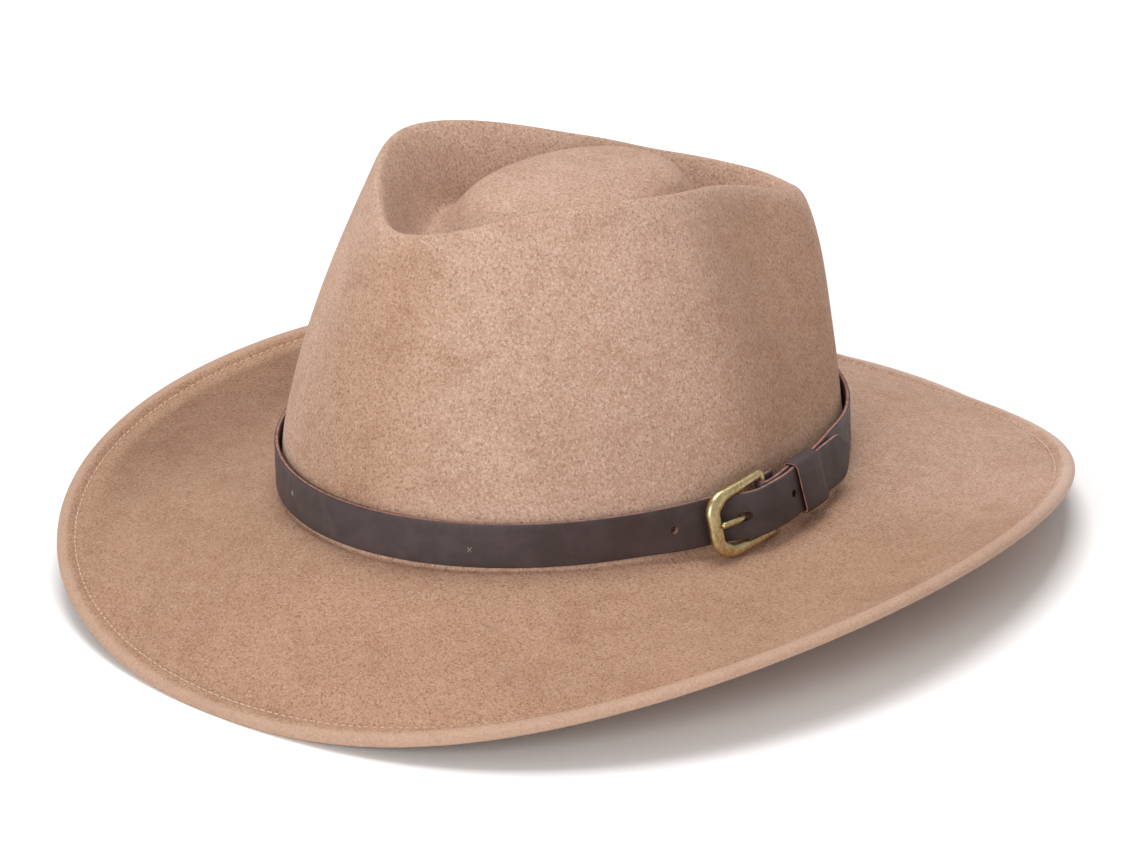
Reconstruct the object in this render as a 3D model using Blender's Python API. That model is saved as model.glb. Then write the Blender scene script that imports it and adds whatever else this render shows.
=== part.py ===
"""Wool felt hat with a pinched teardrop crown, a turned brim edge and a buckled leather band.

Metres, +Z up. The hat faces -Y and the wearer's left is +X. It stands on z = 0 on the front and the rear
of its brim. Every piece is worked out in the head's frame, whose z = 0 is the break between crown and
brim, and is then tipped and lifted so that the brim rests on the floor.
"""

import math
from collections import namedtuple

import bmesh
import bpy
import numpy as np
from mathutils import Matrix

# Felt body
HEAD_LENGTH = 0.196
HEAD_WIDTH = 0.1725
FELT = 0.0020
DOME_HEIGHT = 0.1000
BRIM_FRONT = 0.0750
BRIM_FRONT_CORNER = 0.0797
BRIM_SIDE = 0.0799
BRIM_REAR_CORNER = 0.0766
BRIM_REAR = 0.0724
EDGE_TURN = 0.0065
EDGE_THICKNESS = 0.0040
FLATTENING = 0.0010
BUCKLE_DENT = 0.0015
DENT_SPREAD = math.radians(14)

# Side dents of the pinch
PINCH_TURN = math.radians(31)
PINCH_SPREAD = math.radians(31.5)
PINCH_DEPTH = 0.128

# Leather band
STRAP_WIDTH = 0.0153
STRAP = 0.0016
BAND_FOOT = 0.0020
BUCKLE_RISE = 0.0020
RISE_FRONT = 0.014
RISE_REAR = 0.040
CLEARANCE = 0.0003
HOLE = 0.0026
HOLE_FRONT = -0.0355
HOLE_FREE = 0.0085
TAIL_LENGTH = 0.0060
FREE_LENGTH = 0.0480
TIP_CLIP_LENGTH = 0.0090
TIP_CLIP_HEIGHT = 0.0050

# Cutters: depths as shares of the strap's thickness, and the slot's reach past the strap's inner face
HOLE_DEPTH = 2.0
PRONG_HOLE_DEPTH = 3.5
SLOT_REACH = 0.0020

# Keeper, measured along the strap from the heel bar
KEEPER = 0.0012
KEEPER_START = 0.0128
KEEPER_WIDTH = 0.0130
KEEPER_LEAN = 0.35
KEEPER_ROOM = 0.0007

# Buckle
HEEL_TURN = math.radians(90.9)
HEEL_BAR = 0.0022
FRAME_LENGTH = 0.0225
FRAME_HEIGHT = 0.0242
FRAME_FOOT = -0.00155
FRAME_BAR_WIDTH = 0.0046
FRAME_BAR_DEPTH = 0.0032
ARM_WIDTH = 0.0032
FRAME_CORNER = 0.0050
PRONG = 0.0020
PRONG_EYE = 0.0015
PRONG_HOLE_PLACE = -0.0117
BAR_LIFT = 0.6
STOUT_FROM = 0.7
PRONG_TIP_PLACE = 0.4
PRONG_TIP_LIFT = 0.3
PRONG_TIP_TAPER = 0.7

# Prong between its eye and its tip, as places in prong thicknesses from the hole towards the heel bar and
# heights in prong thicknesses over the strap
Knot = namedtuple("Knot", "place height")
PRONG_KNOTS = (Knot(0.6, -0.55), Knot(-0.8, 0.8))
PRONG_ROOT = Knot(3.0, 0.2)

# Fineness
COLUMNS = 56
BAND_STEP = 0.0070
BAR_SIDES = 12
PRONG_SIDES = 8
HOLE_SIDES = 14

# Height of the crest in metres at front, front corner, side, rear corner and rear, and the widening of
# its plan every 30 degrees from front to rear
CREST_HEIGHTS = (0.1022, 0.1085, 0.1056, 0.0846, 0.0758)
CREST_PLAN = (1.03, 1.055, 1.07, 1.00, 0.823, 1.02, 1.01)

# Crown rings from the middle of the dome down to the break. Across and along are shares of the half
# width and half length, shift is a share of the half length towards the rear, and height is a share of
# the crest's height where tilt is 1 and of the dome's where it is 0. Plan and pinch are shares of the
# crest's widening and of the dents' depth.
Ring = namedtuple("Ring", "across along shift height tilt plan pinch")
CROWN_RINGS = (
    Ring(0.000, 0.000, 0.106, 1.029, 0, 0.00, 0.00),
    Ring(0.205, 0.246, 0.106, 1.017, 0, 0.00, 0.00),
    Ring(0.349, 0.417, 0.106, 0.982, 0, 0.00, 0.00),
    Ring(0.451, 0.530, 0.106, 0.784, 1, 0.80, 0.60),
    Ring(0.434, 0.722, 0.086, 0.751, 1, 1.00, 0.80),
    Ring(0.514, 0.842, 0.086, 0.951, 1, 1.00, 1.00),
    Ring(0.594, 0.886, 0.086, 1.035, 1, 1.00, 1.00),
    Ring(0.642, 0.936, 0.086, 0.953, 1, 1.00, 1.00),
    Ring(0.741, 0.966, 0.066, 0.800, 1, 0.78, 0.71),
    Ring(0.845, 0.980, 0.039, 0.600, 1, 0.49, 0.37),
    Ring(0.925, 0.990, 0.019, 0.400, 1, 0.25, 0.15),
    Ring(0.972, 0.996, 0.007, 0.230, 1, 0.10, 0.04),
    Ring(0.995, 0.997, 0.000, 0.130, 0, 0.00, 0.00),
    Ring(0.995, 0.996, 0.000, 0.012, 0, 0.00, 0.00),
    Ring(1.000, 1.000, 0.000, 0.000, 0, 0.00, 0.00),
)

# Brim stations as shares of the brim's width, and the slopes in degrees that it has at the break and at
# the edge: front, front corner, side, rear corner, rear
BRIM_STATIONS = (0.03, 0.10, 0.25, 0.43, 0.60, 0.75, 0.88, 1.00)
BREAK_SLOPES = (-11.0, -17.0, -19.0, -15.0, -13.0)
EDGE_SLOPES = (-51.0, -13.0, 17.0, 5.5, -20.0)
LEFT_LIFT = 4.3

# Rows of the felt between the middle of the dome and the turned edge, counted in rings
FELT_ROWS = (0.0, 0.7, 1.3, 1.9, 2.4, 2.9, 3.4, 3.9, 4.4, 4.8, 5.2, 5.6, 6.0, 6.5, 7.0, 7.6, 8.4, 9.4,
             10.6, 12.0, 13.0, 13.8, 14.6, 15.6, 17.0, 18.2, 19.4, 20.6)

# Turned edge: distance from the rim as a share of the turn, and swelling as a share of the edge's
Turn = namedtuple("Turn", "distance swelling")
EDGE_ROWS = (Turn(1.30, 0.00), Turn(1.15, 0.05), Turn(1.00, -0.25), Turn(0.80, 0.75), Turn(0.60, 1.00))
RIM_STEPS = 4


def around(values, turn):
    """Smooth course, the same left and right, through values set at equal turns from front to rear."""
    orders = np.arange(len(values))
    places = orders * math.pi / (len(values) - 1)
    weights = np.linalg.solve(np.cos(np.outer(places, orders)), np.array(values, float))
    return np.tensordot(weights, np.cos(np.multiply.outer(orders, turn)), 1)


def brim_width(turn):
    return around((BRIM_FRONT, BRIM_FRONT_CORNER, BRIM_SIDE, BRIM_REAR_CORNER, BRIM_REAR), turn)


def oval(turn):
    """Outer felt face at the break: points and outward normals, as x and y."""
    half_width = HEAD_WIDTH / 2 + FELT
    half_length = HEAD_LENGTH / 2 + FELT
    points = np.stack([half_width * np.sin(turn), -half_length * np.cos(turn)], -1)
    normals = np.stack([half_length * np.sin(turn), -half_width * np.cos(turn)], -1)
    return points, normals / np.linalg.norm(normals, axis=-1, keepdims=True)


def crown_ring(ring, turn):
    """Points of one crown ring, drawn in at the two side dents of the pinch."""
    half_width = HEAD_WIDTH / 2 + FELT
    half_length = HEAD_LENGTH / 2 + FELT
    signed = (turn + math.pi) % (2 * math.pi) - math.pi
    dents = sum(np.exp(-((signed - side * PINCH_TURN) / PINCH_SPREAD) ** 2) for side in (-1, 1))
    drawn = 1 - PINCH_DEPTH * ring.pinch * dents
    widened = 1 + (around(CREST_PLAN, turn) - 1) * ring.plan
    rearward = -np.cos(turn)
    x = half_width * ring.across * np.sin(turn) * widened * drawn
    y = half_length * (ring.shift + ring.along * rearward * drawn)
    z = ring.height * (around(CREST_HEIGHTS, turn) if ring.tilt else DOME_HEIGHT + 0 * turn)
    return np.stack([x, y, z], -1)


def brim_rings(turn):
    """Points of the brim stations, walked outward from the break along the growing slope."""
    steps = np.linspace(0, 1, 81)[:, None]
    inner = around(BREAK_SLOPES, turn)
    outer = around(EDGE_SLOPES, turn) + LEFT_LIFT * np.sin(turn) ** 3
    slope = np.radians(inner + (outer - inner) * steps)
    width = brim_width(turn)
    stride = width / (len(steps) - 1)
    out = np.cumsum(np.cos(slope), 0) * stride
    up = np.cumsum(np.sin(slope), 0) * stride
    places = [round(station * (len(steps) - 1)) for station in BRIM_STATIONS]
    points, normals = oval(turn)
    flat = points + normals * out[places][:, :, None]
    height = up[places]
    dent = BUCKLE_DENT * np.exp(-((turn - HEEL_TURN + DENT_SPREAD / 2) / DENT_SPREAD) ** 2)
    height[:2] -= np.outer((1.0, 0.6), dent)
    return np.concatenate([flat, height[..., None]], -1)


def control_rings(turn):
    """All rings of the felt's outer face, with one more before the first and after the last."""
    crown = np.array([crown_ring(ring, turn) for ring in CROWN_RINGS])
    opposite = np.roll(crown[1], len(turn) // 2, 0)
    brim = brim_rings(turn)
    beyond = 2 * brim[-1] - brim[-2]
    return np.concatenate([opposite[None], crown, brim, beyond[None]])


def felt_face(rings, place):
    """Points of the felt's outer face at places counted in rings, one place for each row and column."""
    last = len(rings) - 4
    index = np.clip(np.floor(place).astype(int), 0, last)
    f = (place - index)[..., None]
    column = np.arange(rings.shape[1])[None, :]
    weights = ((1 - f) ** 3, 3 * f ** 3 - 6 * f ** 2 + 4, -3 * f ** 3 + 3 * f ** 2 + 3 * f + 1, f ** 3)
    return sum(weight * rings[index + k, column] for k, weight in enumerate(weights)) / 6


def face_normals(points):
    """Unit normals of a grid of rows and closed columns, pointing up or out."""
    down = np.gradient(points, axis=0)
    along = np.roll(points, -1, 1) - np.roll(points, 1, 1)
    normals = np.cross(down, along)
    normals[0] = (0, 0, 1)
    return normals / np.linalg.norm(normals, axis=-1, keepdims=True)


def felt_section():
    """Grid of the felt from the dome's middle over the rim to the hollow's middle, in the head's frame."""
    turn = np.arange(COLUMNS) * 2 * math.pi / COLUMNS
    rings = control_rings(turn)
    last = len(rings) - 3
    last_gap = BRIM_STATIONS[-1] - (BRIM_STATIONS[-3] + 4 * BRIM_STATIONS[-2] + BRIM_STATIONS[-1]) / 6
    per_ring = brim_width(turn) * last_gap
    rim_centre = EDGE_THICKNESS / 2
    distances = [row.distance * EDGE_TURN for row in EDGE_ROWS] + [rim_centre, 0]
    edge = np.array([last - distance / per_ring for distance in distances])
    body = np.repeat(np.array(FELT_ROWS)[:, None], COLUMNS, 1)
    face = felt_face(rings, np.concatenate([body, edge]))
    normals = face_normals(face)
    middle = face - normals * FELT / 2
    swelling = [0] * len(FELT_ROWS) + [row.swelling for row in EDGE_ROWS] + [1]
    half = FELT / 2 + np.array(swelling) * (EDGE_THICKNESS - FELT) / 2
    upper = middle[:-1] + normals[:-1] * half[:, None, None]
    under = middle[:-1] - normals[:-1] * half[:, None, None]
    centre = middle[-2]
    outward = middle[-1] - centre
    outward *= rim_centre / np.linalg.norm(outward, axis=-1, keepdims=True)
    angles = np.linspace(0, math.pi, RIM_STEPS + 1)[1:-1, None, None]
    rim = centre + outward * np.sin(angles) + normals[-2] * rim_centre * np.cos(angles)
    return upper, rim, under


def resting_matrix(points):
    """Tip and lift that set the brim's front and rear on the floor, pressed flat, over the origin."""
    cloud = points.reshape(-1, 3)
    pitch = 0.0
    for _ in range(12):
        z = cloud[:, 1] * math.sin(pitch) + cloud[:, 2] * math.cos(pitch)
        front = np.where(cloud[:, 1] < 0, z, np.inf).argmin()
        rear = np.where(cloud[:, 1] > 0, z, np.inf).argmin()
        pitch += math.atan2(z[front] - z[rear], cloud[rear, 1] - cloud[front, 1])
    tipped = place(cloud, Matrix.Rotation(pitch, 4, "X"))
    middle = (tipped.min(0) + tipped.max(0)) / 2
    lift = -tipped[:, 2].min() - FLATTENING
    return Matrix.Translation((-middle[0], -middle[1], lift)) @ Matrix.Rotation(pitch, 4, "X")


def place(points, matrix):
    """Points carried by a matrix."""
    m = np.array(matrix)
    return points @ m[:3, :3].T + m[:3, 3]


def add_material(name, colour, metallic, roughness):
    """Principled material of one finish."""
    material = bpy.data.materials.new(name)
    material.use_nodes = True
    shader = material.node_tree.nodes["Principled BSDF"]
    shader.inputs["Base Color"].default_value = (*colour, 1)
    shader.inputs["Metallic"].default_value = metallic
    shader.inputs["Roughness"].default_value = roughness
    return material


def add_object(name, vertices, faces, material, sharp=math.radians(40)):
    """Object from points and faces, with its faces pointing out and its round sides shaded smooth."""
    mesh = bpy.data.meshes.new(name)
    mesh.from_pydata([tuple(v) for v in vertices], [], faces)
    body = bmesh.new()
    body.from_mesh(mesh)
    bmesh.ops.recalc_face_normals(body, faces=body.faces)
    body.to_mesh(mesh)
    body.free()
    mesh.shade_smooth()
    mesh.set_sharp_from_angle(angle=sharp)
    mesh.materials.append(material)
    item = bpy.data.objects.new(name, mesh)
    bpy.context.collection.objects.link(item)
    return item


def ring_faces(rows, columns, start=0):
    """Quads between neighbouring closed rows of a grid."""
    return [(start + r * columns + c, start + r * columns + (c + 1) % columns,
             start + (r + 1) * columns + (c + 1) % columns, start + (r + 1) * columns + c)
            for r in range(rows - 1) for c in range(columns)]


def build_felt(matrix, section, material):
    """Hollow felt body: crown, brim and turned edge, flat where it lies on the floor."""
    upper, rim, under = (place(part, matrix) for part in section)
    press = np.maximum(0, -under[..., 2])
    upper[..., 2] += press
    under[..., 2] += press
    rim[..., 2] = np.maximum(rim[..., 2], 0)
    upper[..., 2] = np.maximum(upper[..., 2], 0)
    skin = np.concatenate([upper[1:], rim, under[:0:-1]])
    rows = len(skin)
    vertices = [upper[0].mean(0), *skin.reshape(-1, 3), under[0].mean(0)]
    faces = ring_faces(rows, COLUMNS, 1)
    end = rows * COLUMNS + 1
    for c in range(COLUMNS):
        following = (c + 1) % COLUMNS
        faces.append((0, 1 + following, 1 + c))
        faces.append((end, end - COLUMNS + c, end - COLUMNS + following))
    return add_object("felt_body", vertices, faces, material)


class BandCourse:
    """Places on the crown's foot, by length along it, distance off the felt and height."""

    def __init__(self):
        self.turns = np.linspace(-2 * math.pi, 4 * math.pi, 4321)
        points, _ = oval(self.turns)
        steps = np.linalg.norm(np.diff(points, axis=0), axis=1)
        lengths = np.concatenate([[0], np.cumsum(steps)])
        self.lengths = lengths - np.interp(HEEL_TURN, self.turns, lengths)
        self.girth = 2 * np.interp(math.pi, self.turns, lengths) - 2 * np.interp(0, self.turns, lengths)

    def at(self, length, offset, height):
        """Points in the head's frame. Lengths run from the heel bar towards the rear."""
        turn = np.interp(length, self.lengths, self.turns)
        points, normals = oval(turn)
        flat = points + normals * np.asarray(offset)[..., None]
        height = np.broadcast_to(height, np.shape(turn))
        return np.concatenate([flat, height[..., None]], -1)

    def middle(self, length):
        """Height of the strap's middle, which climbs a little behind the buckle."""
        near = (length + self.girth / 2) % self.girth - self.girth / 2
        climb = ease(near, -RISE_FRONT, RISE_FRONT) - ease(near, RISE_REAR, 2 * RISE_REAR)
        return BAND_MIDDLE + BUCKLE_RISE * climb


# Distances off the felt of the strap's middle and of the heel bar
LAYER = STRAP + CLEARANCE
ON_FELT = CLEARANCE + STRAP / 2
OVER_KEEPER = ON_FELT + KEEPER + CLEARANCE
FOLD = HEEL_BAR / 2 + CLEARANCE + STRAP / 2
HEEL_OFFSET = ON_FELT + FOLD
EYE = HEEL_BAR / 2 + CLEARANCE + PRONG_EYE / 2
OVER_EYE = HEEL_OFFSET + max(EYE + PRONG_EYE / 2 + CLEARANCE + STRAP / 2, FOLD + LAYER)
FREE_ON_KEEPER = OVER_KEEPER + LAYER
BAND_MIDDLE = BAND_FOOT + STRAP_WIDTH / 2
KEEPER_END = KEEPER_START + KEEPER_WIDTH + KEEPER_LEAN * STRAP_WIDTH / 2
KEEPER_BEGIN = KEEPER_START - KEEPER_LEAN * STRAP_WIDTH / 2
FRAME_MIDDLE = FRAME_FOOT + FRAME_HEIGHT / 2


def ease(value, start, end):
    """Smooth step from 0 at start to 1 at end."""
    share = np.clip((value - start) / (end - start), 0, 1)
    return share * share * (3 - 2 * share)


def under_strap(length):
    """Distance off the felt of the strap's layer that leaves the heel bar towards the rear."""
    at_bar = HEEL_OFFSET + FOLD
    down = at_bar + (OVER_KEEPER - at_bar) * ease(length, 0.1 * KEEPER_BEGIN, 1.05 * KEEPER_BEGIN)
    return down + (ON_FELT - OVER_KEEPER) * ease(length, KEEPER_END, KEEPER_END + 3 * STRAP_WIDTH / 2)


def free_strap(length):
    """Distance off the felt of the strap's free end, from before the front bar to its tip."""
    rise = ON_FELT + (OVER_EYE - ON_FELT) * ease(length, -FRAME_LENGTH, -EYE - PRONG)
    above = np.maximum(under_strap(np.maximum(length, 0)) + LAYER, 0)
    settled = rise + (above - OVER_EYE) * ease(length, 0, KEEPER_BEGIN)
    return np.where(length <= 0, rise, np.maximum(settled, above))


def strap_stations(course):
    """Middle line of the strap: lengths, offsets and the share of its height that is clipped."""
    tail = np.linspace(TAIL_LENGTH, 0, 4)
    fold = np.linspace(-math.pi / 2, math.pi / 2, 9)[1:]
    over = np.linspace(0, KEEPER_END + 2 * STRAP_WIDTH, 24)[1:]
    free_start = -FRAME_LENGTH - 2 * FRAME_BAR_WIDTH
    rest = course.girth + free_start - over[-1]
    body = np.linspace(over[-1], over[-1] + rest, round(rest / BAND_STEP))[1:]
    clip_start = FREE_LENGTH - TIP_CLIP_LENGTH
    free = np.concatenate([np.linspace(free_start, clip_start, 34)[1:], [FREE_LENGTH]])
    lengths = np.concatenate([tail, -FOLD * np.cos(fold), over, body, course.girth + free])
    offsets = np.concatenate([
        np.full(len(tail), ON_FELT),
        HEEL_OFFSET + FOLD * np.sin(fold),
        under_strap(over),
        np.full(len(body), ON_FELT),
        free_strap(free),
    ])
    clipped = np.zeros(len(lengths))
    clipped[-1] = TIP_CLIP_HEIGHT
    return lengths, offsets, clipped


def build_strap(course, matrix, material):
    """Leather band: one strap folded round the heel bar, round the hat and through buckle and keeper."""
    lengths, offsets, clipped = strap_stations(course)
    middle = course.at(lengths, offsets, course.middle(lengths))
    forward = np.gradient(middle, axis=0)
    side = np.stack([forward[:, 1], -forward[:, 0], 0 * forward[:, 0]], -1)
    side *= STRAP / 2 / np.linalg.norm(side, axis=1, keepdims=True)
    half_height = (STRAP_WIDTH / 2 - clipped)[:, None] * np.array([[0, 0, 1]])
    corners = [middle + side * across + half_height * up
               for across, up in ((-1, -1), (1, -1), (1, 1), (-1, 1))]
    grid = np.stack(corners, 1)
    stations = len(grid)
    faces = ring_faces(stations, 4)
    faces.append((3, 2, 1, 0))
    faces.append(tuple(range(4 * stations - 4, 4 * stations)))
    strap = add_object("hat_band", place(grid.reshape(-1, 3), matrix), faces, material)
    punch_holes(strap, course, matrix)
    return strap


def punch_holes(strap, course, matrix):
    """Holes through the strap, the slot for the prong's eye and the longer hole for the prong."""
    for name, length in (("hole_front", HOLE_FRONT), ("hole_free", HOLE_FREE)):
        offset = ON_FELT if length < 0 else free_strap(np.array(length))
        depth = HOLE_DEPTH * STRAP
        cutter = round_cutter(name, HOLE / 2, HOLE / 2, depth)
        set_cutter(strap, cutter, course, matrix, length, offset, name)
    prong_offset = free_strap(np.array(PRONG_HOLE_PLACE))
    cutter = round_cutter("hole_prong", HOLE, PRONG / 2 + 2 * CLEARANCE, PRONG_HOLE_DEPTH * STRAP)
    set_cutter(strap, cutter, course, matrix, PRONG_HOLE_PLACE, prong_offset, "hole_prong")
    top = HEEL_OFFSET + FOLD + STRAP / 2 + CLEARANCE / 2
    reach = EYE + PRONG_EYE / 2 + CLEARANCE
    slot = box_cutter("prong_slot", 2 * reach, PRONG + 4 * CLEARANCE, top + SLOT_REACH)
    set_cutter(strap, slot, course, matrix, 0.0, (top - SLOT_REACH) / 2, "prong_slot")


def round_cutter(name, half_length, half_height, depth):
    """Oval plug with its length along X, its height along Z and its depth along Y."""
    mesh = bpy.data.meshes.new(name)
    body = bmesh.new()
    turned = Matrix.Rotation(math.pi / 2, 4, "X")
    bmesh.ops.create_cone(body, cap_ends=True, segments=HOLE_SIDES, radius1=1, radius2=1, depth=depth,
                          matrix=turned)
    bmesh.ops.scale(body, vec=(half_length, 1, half_height), verts=body.verts)
    body.to_mesh(mesh)
    body.free()
    return bpy.data.objects.new(name, mesh)


def box_cutter(name, length, height, depth):
    """Block with its length along X, its height along Z and its depth along Y."""
    mesh = bpy.data.meshes.new(name)
    body = bmesh.new()
    bmesh.ops.create_cube(body, size=1)
    bmesh.ops.scale(body, vec=(length, depth, height), verts=body.verts)
    body.to_mesh(mesh)
    body.free()
    return bpy.data.objects.new(name, mesh)


def set_cutter(target, cutter, course, matrix, length, offset, name):
    """Stand a cutter square to the strap's course and cut it out of the target."""
    turn = np.interp(length, course.lengths, course.turns)
    _, normal = oval(turn)
    point = course.at(np.array(length), offset, course.middle(length))
    angle = math.atan2(normal[1], normal[0]) + math.pi / 2
    cutter.matrix_world = matrix @ Matrix.Translation(point) @ Matrix.Rotation(angle, 4, "Z")
    cutter.hide_render = True
    cutter.display_type = "WIRE"
    bpy.context.collection.objects.link(cutter)
    cut = target.modifiers.new(name, "BOOLEAN")
    cut.operation = "DIFFERENCE"
    cut.object = cutter


def build_keeper(course, matrix, material):
    """Closed leather loop round both layers of the strap behind the buckle, leaning with its wear."""
    inner_low = CLEARANCE + KEEPER
    inner_high = FREE_ON_KEEPER + STRAP / 2 + CLEARANCE + KEEPER_ROOM
    half = STRAP_WIDTH / 2 + KEEPER_ROOM
    round_corner = KEEPER
    loop = []
    for off, up, start in ((inner_high - round_corner, half - round_corner, 0),
                           (inner_low + round_corner, half - round_corner, 90),
                           (inner_low + round_corner, -half + round_corner, 180),
                           (inner_high - round_corner, -half + round_corner, 270)):
        for step in range(4):
            angle = math.radians(start + 30 * step)
            loop.append((off, up, math.cos(angle), math.sin(angle)))
    loop = np.array(loop)
    inside = loop[:, :2] + loop[:, 2:] * round_corner
    outside = loop[:, :2] + loop[:, 2:] * (round_corner + KEEPER)
    outside[:, 0] = np.maximum(outside[:, 0], CLEARANCE)
    rows = []
    edges = np.linspace(0, KEEPER_WIDTH, 4)
    for ring, order in ((outside, edges), (inside, edges[::-1])):
        for along in order:
            length = KEEPER_START + along - KEEPER_LEAN * ring[:, 1]
            rows.append(course.at(length, ring[:, 0], course.middle(length) + ring[:, 1]))
    grid = np.array(rows)
    count = grid.shape[1]
    faces = ring_faces(len(grid), count)
    last = (len(grid) - 1) * count
    faces += [(last + c, last + (c + 1) % count, (c + 1) % count, c) for c in range(count)]
    return add_object("keeper_loop", place(grid.reshape(-1, 3), matrix), faces, material)


def tube_faces(rows, sides):
    """Quads of a tube, with flat faces closing both ends."""
    faces = ring_faces(rows, sides)
    faces.append(tuple(reversed(range(sides))))
    faces.append(tuple(range((rows - 1) * sides, rows * sides)))
    return faces


def swept(points, half_wide, half_deep, sides, closed, depth_axis):
    """Rings of an oval section along a line. Depth_axis gives the section's depth direction."""
    if closed:
        forward = np.roll(points, -1, 0) - np.roll(points, 1, 0)
    else:
        forward = np.gradient(points, axis=0)
    forward /= np.linalg.norm(forward, axis=1, keepdims=True)
    wide = np.cross(forward, depth_axis)
    wide /= np.linalg.norm(wide, axis=1, keepdims=True)
    deep = np.cross(wide, forward)
    angles = np.arange(sides) * 2 * math.pi / sides
    ring = (wide[:, None] * (half_wide[:, None] * np.cos(angles))[..., None]
            + deep[:, None] * (half_deep[:, None] * np.sin(angles))[..., None])
    return points[:, None] + ring


def front_bar_offset():
    """Distance off the felt of the front bar's middle, just clear over the rising strap."""
    inner_side = -FRAME_LENGTH + FRAME_CORNER
    return free_strap(np.array(inner_side)) + BAR_LIFT * STRAP + CLEARANCE + FRAME_BAR_DEPTH / 2


def frame_loop():
    """Outer line of the frame as lengths and heights, from the front bar's top corner round to it."""
    half = FRAME_HEIGHT / 2
    front = -FRAME_LENGTH - FRAME_BAR_WIDTH / 2
    heel = HEEL_BAR / 2
    points = []
    for along, up, radius, start in ((front, half, FRAME_CORNER, 90), (front, -half, FRAME_CORNER, 180),
                                     (heel, -half, HEEL_BAR, 270), (heel, half, HEEL_BAR, 0)):
        centre_along = along + math.copysign(radius, -along)
        centre_up = up - math.copysign(radius, up)
        for step in range(5):
            angle = math.radians(start + 22.5 * step)
            points.append((centre_along + radius * math.cos(angle), centre_up + radius * math.sin(angle)))
    return np.array(points)


def build_frame(course, matrix, material):
    """Brass frame: a stout round front bar, two tapering arms and the thin heel bar."""
    outline = frame_loop()
    forward = np.roll(outline, -1, 0) - np.roll(outline, 1, 0)
    forward /= np.linalg.norm(forward, axis=1, keepdims=True)
    inward = np.stack([-forward[:, 1], forward[:, 0]], 1)
    share = np.clip(-outline[:, 0] / FRAME_LENGTH, 0, 1)
    stout = ease(share, STOUT_FROM, 1)
    half_wide = (HEEL_BAR + (ARM_WIDTH - HEEL_BAR) * share + (FRAME_BAR_WIDTH - ARM_WIDTH) * stout) / 2
    half_deep = (HEEL_BAR + (FRAME_BAR_DEPTH - HEEL_BAR) * share) / 2
    line = outline + inward * half_wide[:, None]
    offset = HEEL_OFFSET + (front_bar_offset() - HEEL_OFFSET) * share
    points = course.at(line[:, 0], offset, FRAME_MIDDLE + line[:, 1])
    turn = np.interp(line[:, 0], course.lengths, course.turns)
    _, normals = oval(turn)
    depth_axis = np.concatenate([normals, 0 * normals[:, :1]], 1)
    rings = swept(points, half_wide, half_deep, BAR_SIDES, True, depth_axis)
    faces = ring_faces(len(rings), BAR_SIDES)
    last = (len(rings) - 1) * BAR_SIDES
    faces += [(last + c, last + (c + 1) % BAR_SIDES, (c + 1) % BAR_SIDES, c) for c in range(BAR_SIDES)]
    return add_object("buckle_frame", place(rings.reshape(-1, 3), matrix), faces, material)


def prong_line():
    """Middle line of the prong: nearly once round the heel bar, then out through the strap."""
    angles = np.radians(np.linspace(-120, 150, 13))
    eye_along = EYE * np.cos(angles)
    eye_offset = HEEL_OFFSET + EYE * np.sin(angles)
    front = front_bar_offset()
    tip = -FRAME_LENGTH + PRONG_TIP_PLACE * FRAME_BAR_WIDTH
    tip_offset = front + PRONG_TIP_LIFT * FRAME_BAR_DEPTH + CLEARANCE + PRONG / 2
    hole = free_strap(np.array(PRONG_HOLE_PLACE))
    knots_along = [PRONG_HOLE_PLACE + PRONG_ROOT.place * PRONG,
                   *(PRONG_HOLE_PLACE + knot.place * PRONG for knot in PRONG_KNOTS), tip]
    knots_offset = [HEEL_OFFSET + PRONG_ROOT.height * EYE,
                    *(hole + knot.height * PRONG for knot in PRONG_KNOTS), tip_offset]
    return np.concatenate([eye_along, knots_along]), np.concatenate([eye_offset, knots_offset])


def build_prong(course, matrix, material):
    """Brass prong: an eye round the heel bar and a shank that ends on the front bar."""
    along, offset = prong_line()
    points = course.at(along, offset, course.middle(along))
    half = np.full(len(points), PRONG_EYE / 2)
    half[-3:] = PRONG / 2
    half[-1] *= PRONG_TIP_TAPER
    rings = swept(points, half, half, PRONG_SIDES, False, np.array([[0.0, 0.0, 1.0]]))
    faces = tube_faces(len(rings), PRONG_SIDES)
    return add_object("buckle_prong", place(rings.reshape(-1, 3), matrix), faces, material)


def main():
    for item in list(bpy.data.objects):
        bpy.data.objects.remove(item)
    felt = add_material("wool_felt", (0.533, 0.342, 0.246), 0.0, 0.95)
    leather = add_material("brown_leather", (0.084, 0.060, 0.055), 0.0, 0.48)
    brass = add_material("antique_brass", (0.480, 0.375, 0.185), 1.0, 0.38)
    section = felt_section()
    matrix = resting_matrix(np.concatenate([part.reshape(-1, 3) for part in section]))
    course = BandCourse()
    build_felt(matrix, section, felt)
    build_strap(course, matrix, leather)
    build_keeper(course, matrix, leather)
    build_frame(course, matrix, brass)
    build_prong(course, matrix, brass)


main()
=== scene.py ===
"""Looks of a wool felt hat: pinched teardrop crown, turned and stitched brim edge, buckled leather band.

Metres, +Z up. The hat faces -Y and the wearer's left is +X. Shapes are worked out in the head's frame,
whose z = 0 is the break between crown and brim, and are then tipped and lifted so that the brim rests on
the floor. A turn is an angle round the head from the front towards the wearer's left. A place is counted
in the felt's rings, from the dome's middle outward. A length along the band starts at the buckle's heel
bar and grows towards the rear.
"""
import logging
import math
from dataclasses import dataclass, field
from enum import Enum
from typing import NamedTuple

import bmesh
import bpy
import numpy as np
from mathutils import Matrix, Vector


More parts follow.
